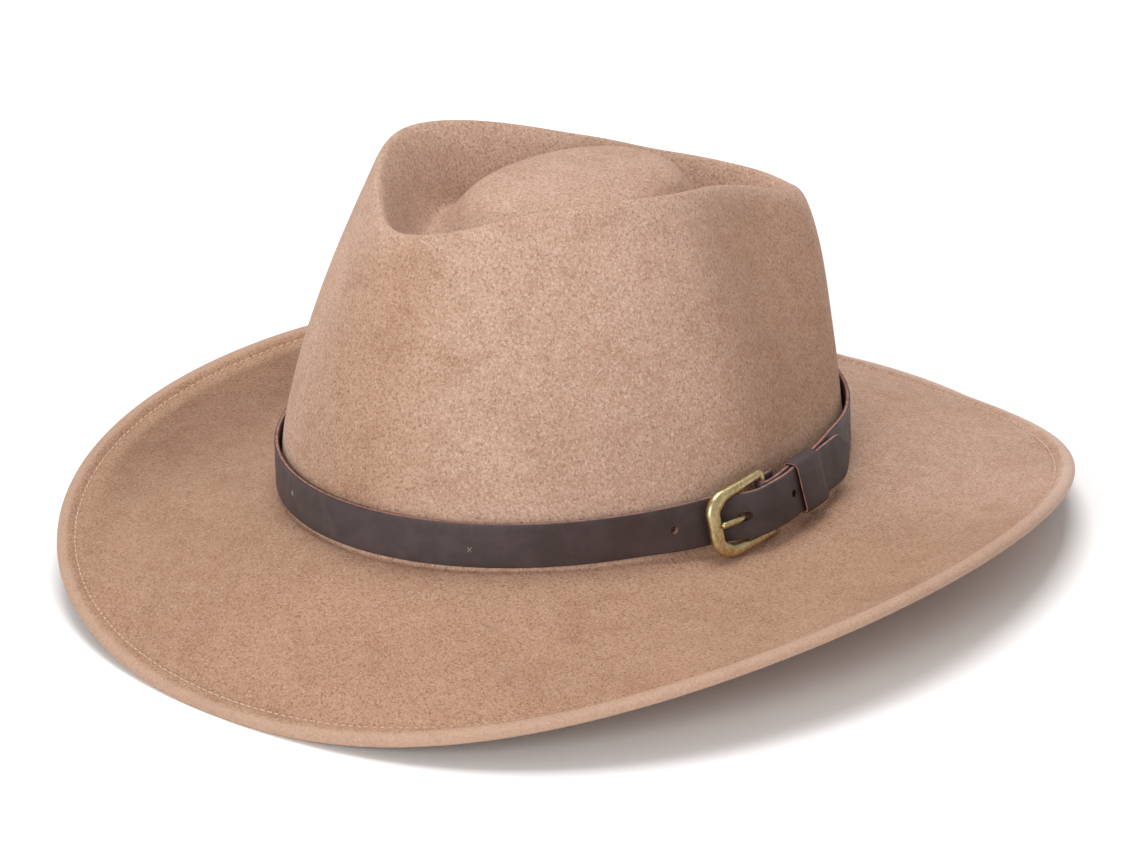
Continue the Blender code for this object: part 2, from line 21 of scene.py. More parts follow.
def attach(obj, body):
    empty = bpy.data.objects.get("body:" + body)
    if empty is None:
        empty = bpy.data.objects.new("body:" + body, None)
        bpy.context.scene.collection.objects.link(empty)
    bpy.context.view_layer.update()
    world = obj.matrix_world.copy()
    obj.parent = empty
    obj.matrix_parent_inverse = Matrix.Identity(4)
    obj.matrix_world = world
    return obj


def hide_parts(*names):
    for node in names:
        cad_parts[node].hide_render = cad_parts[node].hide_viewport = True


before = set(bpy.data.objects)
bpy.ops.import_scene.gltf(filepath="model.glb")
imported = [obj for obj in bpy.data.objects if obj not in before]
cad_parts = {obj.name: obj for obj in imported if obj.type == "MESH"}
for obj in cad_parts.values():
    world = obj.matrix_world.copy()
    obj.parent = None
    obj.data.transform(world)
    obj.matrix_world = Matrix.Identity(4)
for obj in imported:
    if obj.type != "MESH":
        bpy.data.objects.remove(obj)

log = logging.getLogger("felt_hat")

BODY = "root"
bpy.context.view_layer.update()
UP = np.array([0.0, 0.0, 1.0])
HEEL_TURN = math.radians(90.9)
FELT_SHARP, LEATHER_SHARP, BRASS_SHARP = 80.0, 35.0, 60.0


def linear(hex_colour: str) -> tuple[float, float, float, float]:
    """Turn an sRGB hex colour into linear light.

    Args:
        hex_colour: Six hex digits, red first.

    Returns:
        Linear red, green, blue and an alpha of 1.
    """
    parts = np.array([int(hex_colour[i:i + 2], 16) for i in (0, 2, 4)]) / 255
    light = np.where(parts <= 0.04045, parts / 12.92, ((parts + 0.055) / 1.055) ** 2.4)
    return (*light.tolist(), 1.0)


def ease(value: np.ndarray, start: float, end: float) -> np.ndarray:
    """Smooth step from 0 at start to 1 at end: 3s^2 - 2s^3 of the share s of the way."""
    share = np.clip((value - start) / (end - start), 0, 1)
    return share * share * (3 - 2 * share)


def bell(value: np.ndarray, centre: float, spread: float) -> np.ndarray:
    """Bell curve: exp(-((value - centre) / spread)^2)."""
    return np.exp(-((value - centre) / spread) ** 2)


class Window(NamedTuple):
    """Smooth window that opens between two values and shuts between two later ones."""

    opens: tuple[float, float]
    shuts: tuple[float, float]

    def at(self, value: np.ndarray) -> np.ndarray:
        """Share, from 0 to 1, that is open at each value."""
        return ease(value, *self.opens) * (1 - ease(value, *self.shuts))


def wrapped(value: np.ndarray, period: float = 2 * math.pi) -> np.ndarray:
    """Values moved by whole periods to within half a period of 0."""
    return (value + period / 2) % period - period / 2


def full_circle(count: int) -> np.ndarray:
    """Even turns once round, from 0."""
    return np.arange(count) * 2 * math.pi / count


def around(values: tuple[float, ...], turn: np.ndarray) -> np.ndarray:
    """Course that is the same left and right, through values set at equal turns from front to rear.

    The course is a sum of weights times cos(order x turn), with as many orders as there are values.

    Args:
        values: Values at equal turns from the front to the rear.
        turn: Turns to work it out at, in radians.

    Returns:
        The course at each turn.
    """
    orders = np.arange(len(values))
    places = orders * math.pi / (len(values) - 1)
    weights = np.linalg.solve(np.cos(np.outer(places, orders)), np.array(values, float))
    return np.tensordot(weights, np.cos(np.multiply.outer(orders, turn)), 1)


def turned(vectors: np.ndarray, matrix: Matrix) -> np.ndarray:
    """Directions turned by a matrix."""
    return vectors @ np.array(matrix)[:3, :3].T


def carried(points: np.ndarray, matrix: Matrix) -> np.ndarray:
    """Points turned and moved by a matrix."""
    return turned(points, matrix) + np.array(matrix)[:3, 3]


def unit(vectors: np.ndarray) -> np.ndarray:
    """Vectors of length 1 along the given ones."""
    return vectors / np.linalg.norm(vectors, axis=-1, keepdims=True)


def run(line: np.ndarray) -> np.ndarray:
    """Length along a line from its first point to each of its points."""
    return np.concatenate([[0], np.cumsum(np.linalg.norm(np.diff(line, axis=0), axis=1))])


def sampled(line: np.ndarray, length: np.ndarray, places: np.ndarray) -> np.ndarray:
    """Values of a line at places along its length."""
    return np.stack([np.interp(places, length, part) for part in line.T], 1)


def grid_quads(rows: int, columns: int, start: int = 0, wrap: bool = False) -> np.ndarray:
    """Quads between neighbouring closed rows of a grid: (r, c), (r, c+1), (r+1, c+1), (r+1, c).

    Args:
        rows: Number of rows.
        columns: Points in each closed row.
        start: Index of the grid's first point.
        wrap: True if the last row joins the first.

    Returns:
        One line of four indices for each quad.
    """
    r, c = np.meshgrid(np.arange(rows if wrap else rows - 1), np.arange(columns), indexing="ij")
    after_r, after_c = (r + 1) % rows, (c + 1) % columns
    quads = np.stack([r * columns + c, r * columns + after_c,
                      after_r * columns + after_c, after_r * columns + c], -1)
    return start + quads.reshape(-1, 4)


def tube_faces(rows: int, columns: int) -> list:
    """Quads of a tube of closed rows, and a face over each of its ends."""
    ends = [list(range(columns))[::-1], list(range((rows - 1) * columns, rows * columns))]
    return grid_quads(rows, columns).tolist() + ends


def linked(name: str, data: bpy.types.ID) -> bpy.types.Object:
    """Object of a mesh, light or camera, linked to the scene."""
    item = bpy.data.objects.new(name, data)
    bpy.context.scene.collection.objects.link(item)
    return item


class Piece:
    """A finished piece of the hat: a mesh at the origin that rides on the hat and has its finishes."""

    def __init__(self, name: str, points: np.ndarray, faces: list, materials: list, slot: str) -> None:
        """Make the piece's object.

        Args:
            name: Plain name of the piece.
            points: Array of x, y, z.
            faces: Lists of point indices.
            materials: Finishes in slot order.
            slot: Name of the material slot; not used.
        """
        mesh = bpy.data.meshes.new(name)
        mesh.from_pydata(points.reshape(-1, 3).tolist(), [], faces)
        for material in materials:
            mesh.materials.append(material)
        self.item = linked(name, mesh)
        self.slot = slot

    def mark(self, name: str, values: np.ndarray) -> None:
        """Keep a number for each point of the mesh, under the name that a finish reads it by."""
        layer = self.item.data.attributes.new(name, "FLOAT", "POINT")
        layer.data.foreach_set("value", np.asarray(values, np.float32).ravel())

    def tint(self, indices: np.ndarray) -> None:
        """Give each face the finish of an index."""
        self.item.data.polygons.foreach_set("material_index", np.asarray(indices, np.int32))

    def face_outward(self, sharp: float) -> None:
        """Turn the closed mesh's faces outward and shade it smooth.

        Args:
            sharp: Angle in degrees past which an edge stays sharp.
        """
        body = bmesh.new()
        body.from_mesh(self.item.data)
        bmesh.ops.recalc_face_normals(body, faces=body.faces)
        body.to_mesh(self.item.data)
        body.free()
        self.item.data.shade_smooth()
        self.item.data.set_sharp_from_angle(angle=math.radians(sharp))

    def fasten(self, *nodes: str) -> None:
        """Let the piece ride on the hat and stand for the frame's nodes.

        Args:
            nodes: Names of the nodes that it stands for.
        """
        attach(self.item, BODY)
        if nodes:
            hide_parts(*nodes)
        log.info("%s: %d faces", self.item.name, len(self.item.data.polygons))


class Ring(NamedTuple):
    """One ring of the crown, in shares of the half width, half length, height, widening and dents."""

    across: float
    along: float
    shift: float
    height: float
    tilt: int
    plan: float
    pinch: float


@dataclass(frozen=True)
class FeltForm:
    """Form of the moulded felt: teardrop crown, dipped and lifted brim, turned edge."""

    head_length: float = 0.196
    head_width: float = 0.1725
    felt: float = 0.0020
    dome_height: float = 0.1000
    brim: tuple[float, ...] = (0.0750, 0.0797, 0.0799, 0.0766, 0.0724)
    brim_steps: int = 80
    edge_turn: float = 0.0065
    edge_thickness: float = 0.0040
    ply_step: tuple[float, float] = (0.62, 1.10)
    groove_depth: float = 0.45
    groove_spread: float = 0.09
    flattening: float = 0.0010
    buckle_dent: float = 0.0015
    dent_shares: tuple[float, ...] = (1.0, 0.6)
    dent_turn: float = HEEL_TURN - math.radians(7)
    dent_spread: float = math.radians(14)
    pinch_turn: float = math.radians(31)
    pinch_spread: float = math.radians(31.5)
    pinch_depth: float = 0.128
    crest_heights: tuple[float, ...] = (0.1022, 0.1085, 0.1056, 0.0846, 0.0758)
    crest_plan: tuple[float, ...] = (1.03, 1.055, 1.07, 1.00, 0.823, 1.02, 1.01)
    stations: tuple[float, ...] = (0.03, 0.10, 0.25, 0.43, 0.60, 0.75, 0.88, 1.00)
    break_slopes: tuple[float, ...] = (-11.0, -17.0, -19.0, -15.0, -13.0)
    edge_slopes: tuple[float, ...] = (-51.0, -13.0, 17.0, 5.5, -20.0)
    left_lift: float = 4.3
    rings: tuple[Ring, ...] = (
        Ring(0.000, 0.000, 0.106, 1.029, 0, 0.00, 0.00),
        Ring(0.205, 0.246, 0.106, 1.017, 0, 0.00, 0.00),
        Ring(0.349, 0.417, 0.106, 0.982, 0, 0.00, 0.00),
        Ring(0.451, 0.530, 0.106, 0.784, 1, 0.80, 0.60),
        Ring(0.434, 0.722, 0.086, 0.751, 1, 1.00, 0.80),
        Ring(0.514, 0.842, 0.086, 0.951, 1, 1.00, 1.00),
        Ring(0.594, 0.886, 0.086, 1.035, 1, 1.00, 1.00),
        Ring(0.642, 0.936, 0.086, 0.953, 1, 1.00, 1.00),
        Ring(0.741, 0.966, 0.066, 0.800, 1, 0.78, 0.71),
        Ring(0.845, 0.980, 0.039, 0.600, 1, 0.49, 0.37),
        Ring(0.925, 0.990, 0.019, 0.400, 1, 0.25, 0.15),
        Ring(0.972, 0.996, 0.007, 0.230, 1, 0.10, 0.04),
        Ring(0.995, 0.997, 0.000, 0.130, 0, 0.00, 0.00),
        Ring(0.995, 0.996, 0.000, 0.012, 0, 0.00, 0.00),
        Ring(1.000, 1.000, 0.000, 0.000, 0, 0.00, 0.00),
    )

    @property
    def half_width(self) -> float:
        """Half the width of the felt's outer face at the break."""
        return self.head_width / 2 + self.felt

    @property
    def half_length(self) -> float:
        """Half the length of the felt's outer face at the break."""
        return self.head_length / 2 + self.felt

    def oval(self, turn: np.ndarray) -> tuple[np.ndarray, np.ndarray]:
        """Ellipse of the felt's outer face at the break.

        Args:
            turn: Turns in radians.

        Returns:
            Points and outward normals, as x and y.
        """
        a, b = self.half_width, self.half_length
        points = np.stack([a * np.sin(turn), -b * np.cos(turn)], -1)
        return points, unit(np.stack([b * np.sin(turn), -a * np.cos(turn)], -1))

    def crown_ring(self, ring: Ring, turn: np.ndarray) -> np.ndarray:
        """Points of one crown ring: an ellipse, widened by the crest's plan and drawn in at two dents.

        Args:
            ring: The ring's shares.
            turn: Turns in radians.

        Returns:
            One point for each turn.
        """
        signed = wrapped(turn)
        dents = sum(bell(signed, side * self.pinch_turn, self.pinch_spread) for side in (-1, 1))
        drawn = 1 - self.pinch_depth * ring.pinch * dents
        widened = 1 + (around(self.crest_plan, turn) - 1) * ring.plan
        x = self.half_width * ring.across * np.sin(turn) * widened * drawn
        y = self.half_length * (ring.shift - ring.along * np.cos(turn) * drawn)
        top = around(self.crest_heights, turn) if ring.tilt else self.dome_height + 0 * turn
        return np.stack([x, y, ring.height * top], -1)

    def brim_rings(self, turn: np.ndarray) -> np.ndarray:
        """Points of the brim's stations: sums of short steps outward along a slope that grows evenly.

        Args:
            turn: Turns in radians.

        Returns:
            Rows of stations, columns of turns.
        """
        inner = around(self.break_slopes, turn)
        outer = around(self.edge_slopes, turn) + self.left_lift * np.sin(turn) ** 3
        slope = np.radians(inner + (outer - inner) * np.linspace(0, 1, self.brim_steps + 1)[:, None])
        stride = around(self.brim, turn) / self.brim_steps
        out = np.cumsum(np.cos(slope), 0) * stride
        up = np.cumsum(np.sin(slope), 0) * stride
        places = [round(station * self.brim_steps) for station in self.stations]
        points, normals = self.oval(turn)
        flat = points + normals * out[places][:, :, None]
        height = up[places]
        dent = self.buckle_dent * bell(turn, self.dent_turn, self.dent_spread)
        height[:len(self.dent_shares)] -= np.outer(self.dent_shares, dent)
        return np.concatenate([flat, height[..., None]], -1)

    def control(self, turn: np.ndarray) -> np.ndarray:
        """All rings of the outer face, with one more before the first and after the last."""
        crown = np.array([self.crown_ring(ring, turn) for ring in self.rings])
        brim = self.brim_rings(turn)
        opposite = np.roll(crown[1], len(turn) // 2, 0)
        return np.concatenate([opposite[None], crown, brim, 2 * brim[-1:] - brim[-2:-1]])

    @staticmethod
    def face(rings: np.ndarray, place: np.ndarray) -> np.ndarray:
        """Points of the outer face: an even cubic B-spline through the rings.

        Args:
            rings: Control rings.
            place: Places, one for each row and column.

        Returns:
            One point for each place.
        """
        index = np.clip(np.floor(place).astype(int), 0, len(rings) - 4)
        f = (place - index)[..., None]
        column = np.arange(rings.shape[1])[None, :]
        weights = ((1 - f) ** 3, 3 * f ** 3 - 6 * f ** 2 + 4,
                   -3 * f ** 3 + 3 * f ** 2 + 3 * f + 1, f ** 3)
        return sum(w * rings[index + k, column] for k, w in enumerate(weights)) / 6

    @staticmethod
    def normals(points: np.ndarray) -> np.ndarray:
        """Unit normals of a grid of rows and closed columns, pointing up or out."""
        along = np.roll(points, -1, 1) - np.roll(points, 1, 1)
        crossed = np.cross(np.gradient(points, axis=0), along)
        crossed[0] = UP
        return unit(crossed)

    def edge_places(self, distances: np.ndarray, turn: np.ndarray) -> np.ndarray:
        """Places of lines that keep a distance in from the rim.

        Args:
            distances: Distances from the rim in metres.
            turn: Turns in radians.

        Returns:
            Rows of distances, columns of turns.
        """
        before, near, rim = self.stations[-3:]
        per_ring = around(self.brim, turn) * (rim - (before + 4 * near + rim) / 6)
        return len(self.rings) + len(self.stations) - 1 - distances[:, None] / per_ring

    def swelling(self, distance: np.ndarray) -> np.ndarray:
        """Share of the edge's extra thickness: a step at the turned ply, less a groove at the stitches."""
        share = distance / self.edge_turn
        return 1 - ease(share, *self.ply_step) - self.groove_depth * bell(share, 1, self.groove_spread)


@dataclass
class Grid:
    """Skin of the felt as rows from the dome's middle over the rim to the hollow's middle."""

    upper: np.ndarray
    rim: np.ndarray
    under: np.ndarray
    normals: np.ndarray
    distance: np.ndarray


@dataclass
class FeltBody:
    """The felt itself, with its fold lines, its uneven hand and its doubled edge.

    The plain values are the rows of the undressed felt, which the hat's rest on the floor is found from.
    """

    form: FeltForm = field(default_factory=FeltForm)
    columns: int = 336
    rows_per_ring: int = 6
    rim_steps: int = 9
    under_step: int = 2
    edge_rows: tuple[float, ...] = (1.35, 1.24, 1.16, 1.10, 1.05, 1.00, 0.95, 0.90, 0.84, 0.76, 0.68,
                                    0.60, 0.48, 0.38)
    plain_columns: int = 56
    plain_rim_steps: int = 4
    plain_rows: tuple[float, ...] = (0.0, 0.7, 1.3, 1.9, 2.4, 2.9, 3.4, 3.9, 4.4, 4.8, 5.2, 5.6, 6.0, 6.5,
                                     7.0, 7.6, 8.4, 9.4, 10.6, 12.0, 13.0, 13.8, 14.6, 15.6, 17.0, 18.2,
                                     19.4, 20.6)
    plain_edge: tuple[float, ...] = (1.30, 1.15, 1.00, 0.80, 0.60)
    plain_swell: tuple[float, ...] = (0.0, 0.05, -0.25, 0.75, 1.0, 1.0)
    crest_place: float = 6.05
    crest_height: float = 0.0010
    crest_width: float = 0.28
    crest_sides: Window = Window((0.2, 0.9), (2.1, 2.7))
    break_place: float = 13.0
    unevenness: float = 0.00016
    uneven: Window = Window((1.0, 3.0), (20.5, 21.8))
    corner_turn: float = math.radians(89)
    corner_spread: float = math.radians(13)
    corner_height: float = 0.0012
    corner_wall: Window = Window((6.4, 8.2), (10.2, 12.2))
    dish_turns: tuple[float, float] = (math.radians(58), math.radians(114))
    dish_spread: float = math.radians(20)
    dish_share: float = 0.9
    # Warm painted shade on the wall: the rows it covers and an upright band behind each side's corner.
    warm_shade_wall: Window = Window((5.8, 7.5), (12.0, 13.0))
    shade_streak: Window = Window((-0.30, 0.30), (0.75, 1.2))
    # Neutral painted shade on the outer brim at the wearer's right: its turns and its places.
    far_shade_turns: Window = Window((math.radians(25), math.radians(85)), (math.radians(95), math.radians(165)))
    far_shade_places: tuple[float, float] = (15.0, 20.0)
    # Warm painted shade on the brim and up the wall's front, less on the brim's rear, with its shares.
    warm_shade_brim: tuple[float, float] = (13.0, 15.0)
    warm_shade_front: tuple[float, float] = (0.05, 0.75)
    unshaded_rear: tuple[float, float] = (1.65, 2.3)
    unshaded_rear_share: float = 0.7
    shade_streak_share: float = 0.78
    front_shade_share: float = 0.66
    rub_span: tuple[float, float] = (0.35, 0.9)
    edge_rings: float = 2.4
    calm_share: float = 0.8
    calm_spread: float = 1.2

    def section(self, columns: int, body: np.ndarray, edge: np.ndarray, steps: int,
                shaped: bool) -> Grid:
        """Skin of the felt: the face's middle surface, plus and minus half the thickness.

        Args:
            columns: Points in each closed row.
            body: Places of the rows before the edge.
            edge: Distances from the rim of the edge's rows.
            steps: Steps of the half round at the rim.
            shaped: True to add fold lines and unevenness.

        Returns:
            The skin's rows.
        """
        form = self.form
        turn = full_circle(columns)
        rings = form.control(turn)
        centre = form.edge_thickness / 2
        edge_rows = form.edge_places(np.concatenate([edge, [centre, 0]]), turn)
        place = np.concatenate([np.repeat(body[:, None], columns, 1), edge_rows])
        points = form.face(rings, place)
        normals = form.normals(points)
        if shaped:
            points = points + normals * self.hand(place, turn)[..., None]
            normals = form.normals(points)
        middle = points - normals * form.felt / 2
        edge_swell = [*form.swelling(edge), 1.0] if shaped else self.plain_swell
        swell = np.concatenate([np.zeros(len(body)), edge_swell])
        half = (form.felt / 2 + swell * (form.edge_thickness - form.felt) / 2)[:, None, None]
        outward = unit(middle[-1] - middle[-2]) * centre
        angles = np.linspace(0, math.pi, steps + 1)[1:-1, None, None]
        rim = middle[-2] + outward * np.sin(angles) + normals[-2] * centre * np.cos(angles)
        distance = np.concatenate([np.full(len(body), 1.0), edge, [centre]])
        return Grid(middle[:-1] + normals[:-1] * half, rim, middle[:-1] - normals[:-1] * half,
                    normals[:-1], distance)

    def hand(self, place: np.ndarray, turn: np.ndarray) -> np.ndarray:
        """Height in metres of fold lines and unevenness over the smooth form.

        The crest gets a cusp, h exp(-|p - crest| / w). A soft upright corner stands on each side of the
        crown between two shallow dishes, and sums of slow sines make the felt uneven.

        Args:
            place: Places, one for each row and column.
            turn: Turns in radians, one for each column.

        Returns:
            Height along the normal, one for each place.
        """
        signed = np.abs(wrapped(turn))
        cusp = self.crest_height * self.crest_sides.at(signed) \
            * np.exp(-np.abs(place - self.crest_place) / self.crest_width)
        upright = bell(signed, self.corner_turn, self.corner_spread)
        dished = self.dish_share * sum(bell(signed, dish, self.dish_spread) for dish in self.dish_turns)
        corner = self.corner_height * self.corner_wall.at(place) * (upright - dished)
        slow = (np.sin(3 * turn + 0.9 * place) + np.sin(5 * turn - 0.7 * place + 1.3)
                + 0.7 * np.sin(8 * turn + 1.9 * place + 0.4) + 0.5 * np.sin(13 * turn - 2.3 * place))
        calm = self.calm_share * bell(place, self.break_place, self.calm_spread)
        away = self.uneven.at(place) * (1 - calm)
        return cusp + corner + self.unevenness * slow * away

    def resting(self) -> Matrix:
        """Tip and lift that set the brim's front and rear on the floor, pressed flat, over the origin."""
        grid = self.section(self.plain_columns, np.array(self.plain_rows),
                            np.array(self.plain_edge) * self.form.edge_turn, self.plain_rim_steps, False)
        cloud = np.concatenate([part.reshape(-1, 3) for part in (grid.upper, grid.rim, grid.under)])
        pitch = 0.0
        for _ in range(12):
            z = cloud[:, 1] * math.sin(pitch) + cloud[:, 2] * math.cos(pitch)
            front = np.where(cloud[:, 1] < 0, z, np.inf).argmin()
            rear = np.where(cloud[:, 1] > 0, z, np.inf).argmin()
            pitch += math.atan2(z[front] - z[rear], cloud[rear, 1] - cloud[front, 1])
        tipped = carried(cloud, Matrix.Rotation(pitch, 4, "X"))
        middle = (tipped.min(0) + tipped.max(0)) / 2
        lift = -tipped[:, 2].min() - self.form.flattening
        return Matrix.Translation((-middle[0], -middle[1], lift)) @ Matrix.Rotation(pitch, 4, "X")

    def build(self, matrix: Matrix, material: bpy.types.Material) -> Grid:
        """Make the felt's closed skin, mark its rubbed rim and its painted shade, and set it on the floor.

        Args:
            matrix: Placement of the head's frame.
            material: The felt's finish.

        Returns:
            The skin's rows, placed.
        """
        form = self.form
        last = len(form.rings) + len(form.stations) - self.edge_rings
        body = np.linspace(0, last, round(last * self.rows_per_ring) + 1)
        edge = np.array(self.edge_rows) * form.edge_turn
        grid = self.section(self.columns, body, edge, self.rim_steps, True)
        upper, rim, under = (carried(part, matrix) for part in (grid.upper, grid.rim, grid.under))
        press = np.maximum(0, -under[..., 2])
        upper[..., 2] += press
        under[..., 2] += press
        for part in (upper, rim):
            part[..., 2] = np.maximum(part[..., 2], 0)
        kept = np.r_[np.arange(0, len(body), self.under_step), np.arange(len(body), len(under))]
        inner = under[kept]
        skin = np.concatenate([upper[1:], rim, inner[:0:-1]])
        rows, columns = skin.shape[:2]
        points = np.concatenate([upper[:1].mean(1), skin.reshape(-1, 3), inner[:1].mean(1)])
        c = np.arange(columns)
        after = (c + 1) % columns
        end = rows * columns + 1
        caps = np.concatenate([np.stack([0 * c, 1 + after, 1 + c], 1),
                               np.stack([0 * c + end, end - columns + c, end - columns + after], 1)])
        faces = grid_quads(rows, columns, 1).tolist() + caps.tolist()
        piece = Piece("moulded_felt", points, faces, [material], "wool_felt")
        turn = full_circle(columns)
        rub = np.concatenate([self.rub(grid.distance[1:]), np.ones(len(rim)),
                              self.rub(grid.distance[kept])[:0:-1]])
        # Shares of warm painted shade for the upper face, the turned edge and the under face.
        nap = self.warm_painted_shade(body, turn)
        inner_warm_shade = nap[kept[kept < len(body)]][:0:-1]
        edge_warm_shade = np.repeat(nap[-1:], rows - len(body) + 1 - len(inner_warm_shade), 0)
        # Neutral painted shade on the outer brim at the wearer's right side.
        far_painted_shade = np.zeros((rows, columns))
        far_painted_shade[:len(body) - 1] = ease(body[1:], *self.far_shade_places)[:, None] * self.far_shade_turns.at(-turn % (2 * math.pi))
        for name, shares in (("rub", np.repeat(rub, columns)), ("far_painted_shade", far_painted_shade),
                             ("nap", np.concatenate([nap[1:], edge_warm_shade, inner_warm_shade]))):
            piece.mark(name, np.concatenate([[0], shares.ravel(), [0]]))
        piece.face_outward(FELT_SHARP)
        piece.fasten("felt_body")
        return Grid(upper, rim, under, turned(grid.normals, matrix), grid.distance)

    def warm_painted_shade(self, place: np.ndarray, turn: np.ndarray) -> np.ndarray:
        """Share of warm painted shade: over the brim, up the front and in an upright band behind each side.

        Args:
            place: Places, one for each row.
            turn: Turns in radians, one for each column.

        Returns:
            Shares, rows of places and columns of turns.
        """
        signed = np.abs(wrapped(turn))
        rear = self.unshaded_rear_share * ease(signed, *self.unshaded_rear)
        brim = ease(place, *self.warm_shade_brim)[:, None] * (1 - rear)
        shade_streak = self.shade_streak_share * self.shade_streak.at(signed - self.corner_turn)
        front = self.front_shade_share * (1 - ease(signed, *self.warm_shade_front))
        return np.clip(brim + self.warm_shade_wall.at(place)[:, None] * (shade_streak + front), 0, 1)

    def rub(self, distance: np.ndarray) -> np.ndarray:
        """Share of rubbed pale nap, 1 at the rim and 0 past the edge's roll."""
        return 1 - ease(distance, *(share * self.form.edge_turn for share in self.rub_span))


class BandCourse:
    """Places on the crown's foot, by length along it, distance off the felt and height."""

    def __init__(self, band: "LeatherBand") -> None:
        """Measure the oval from the heel bar.

        Args:
            band: The leather band that runs along it.
        """
        self.band = band
        self.turns = np.linspace(-2 * math.pi, 4 * math.pi, 4321)
        lengths = run(band.form.oval(self.turns)[0])
        front, rear, heel = np.interp((0, math.pi, band.heel_turn), self.turns, lengths)
        self.lengths = lengths - heel
        self.girth = float(2 * (rear - front))

    def at(self, length: np.ndarray, offset: np.ndarray, height: np.ndarray) -> np.ndarray:
        """Points in the head's frame: the oval's point, plus offset times its normal, at a height.

        Args:
            length: Lengths along the band.
            offset: Distances off the felt.
            height: Heights over the break.

        Returns:
            One point for each length.
        """
        turn = np.interp(length, self.lengths, self.turns)
        points, normals = self.band.form.oval(turn)
        flat = points + normals * np.asarray(offset)[..., None]
        height = np.broadcast_to(height, np.shape(turn))
        return np.concatenate([flat, height[..., None]], -1)

    def middle(self, length: np.ndarray) -> np.ndarray:
        """Height of the strap's middle, which climbs a little behind the buckle."""
        climb = self.band.climb.at(wrapped(length, self.girth))
        return self.band.band_middle + self.band.rise * climb

    def normal(self, length: np.ndarray) -> np.ndarray:
        """Outward normals of the oval at lengths."""
        _, normal = self.band.form.oval(np.interp(length, self.lengths, self.turns))
        return np.concatenate([normal, 0 * normal[..., :1]], -1)

    def leaned(self, points: np.ndarray, length: np.ndarray) -> np.ndarray:
        """Stand the buckle and the strap about it off the felt at their foot.

        A point moves outward by lean times its depth under the strap's top edge.

        Args:
            points: Points in the head's frame.
            length: Length along the band of each point, or of each row of points.

        Returns:
            The moved points.
        """
        band = self.band
        length = np.broadcast_to(np.asarray(length), points.shape[:-1])
        share = band.leaning.at(wrapped(length, self.girth))
        depth = band.band_middle + band.rise + band.width / 2 - points[..., 2]
        return points + self.normal(length) * (band.lean * share * depth)[..., None]


def strip_section(width: float, thickness: float, round_edge: float,
                  steps: int) -> tuple[np.ndarray, np.ndarray]:
    """Section of a leather strip: a flat oblong with its long edges a little rounded.

    Args:
        width: Width of the strip.
        thickness: Thickness of the strip.
        round_edge: Radius of its corners.
        steps: Steps across each flat side.

    Returns:
        Points as places across the width and through the thickness, and for each side of the section
        from its point to the next 1 on the cut edge and 0 elsewhere.
    """
    corner = np.radians([0, 30, 60, 90])
    across, through, cut = [], [], []
    for quarter, sign_across, sign_deep in ((0, 1, 1), (1, -1, 1), (2, -1, -1), (3, 1, -1)):
        angle = corner + quarter * math.pi / 2
        across += (sign_across * (width / 2 - round_edge) + round_edge * np.cos(angle)).tolist()
        through += (sign_deep * (thickness / 2 - round_edge) + round_edge * np.sin(angle)).tolist()
        cut += [0, 0, 0]
        if quarter % 2:
            cut += [1]
            continue
        inside = np.linspace(across[-1], -across[-1], steps + 1)[1:-1]
        across += inside.tolist()
        through += [through[-1]] * len(inside)
        cut += [0] * steps
    return np.stack([across, through], 1), np.array(cut)


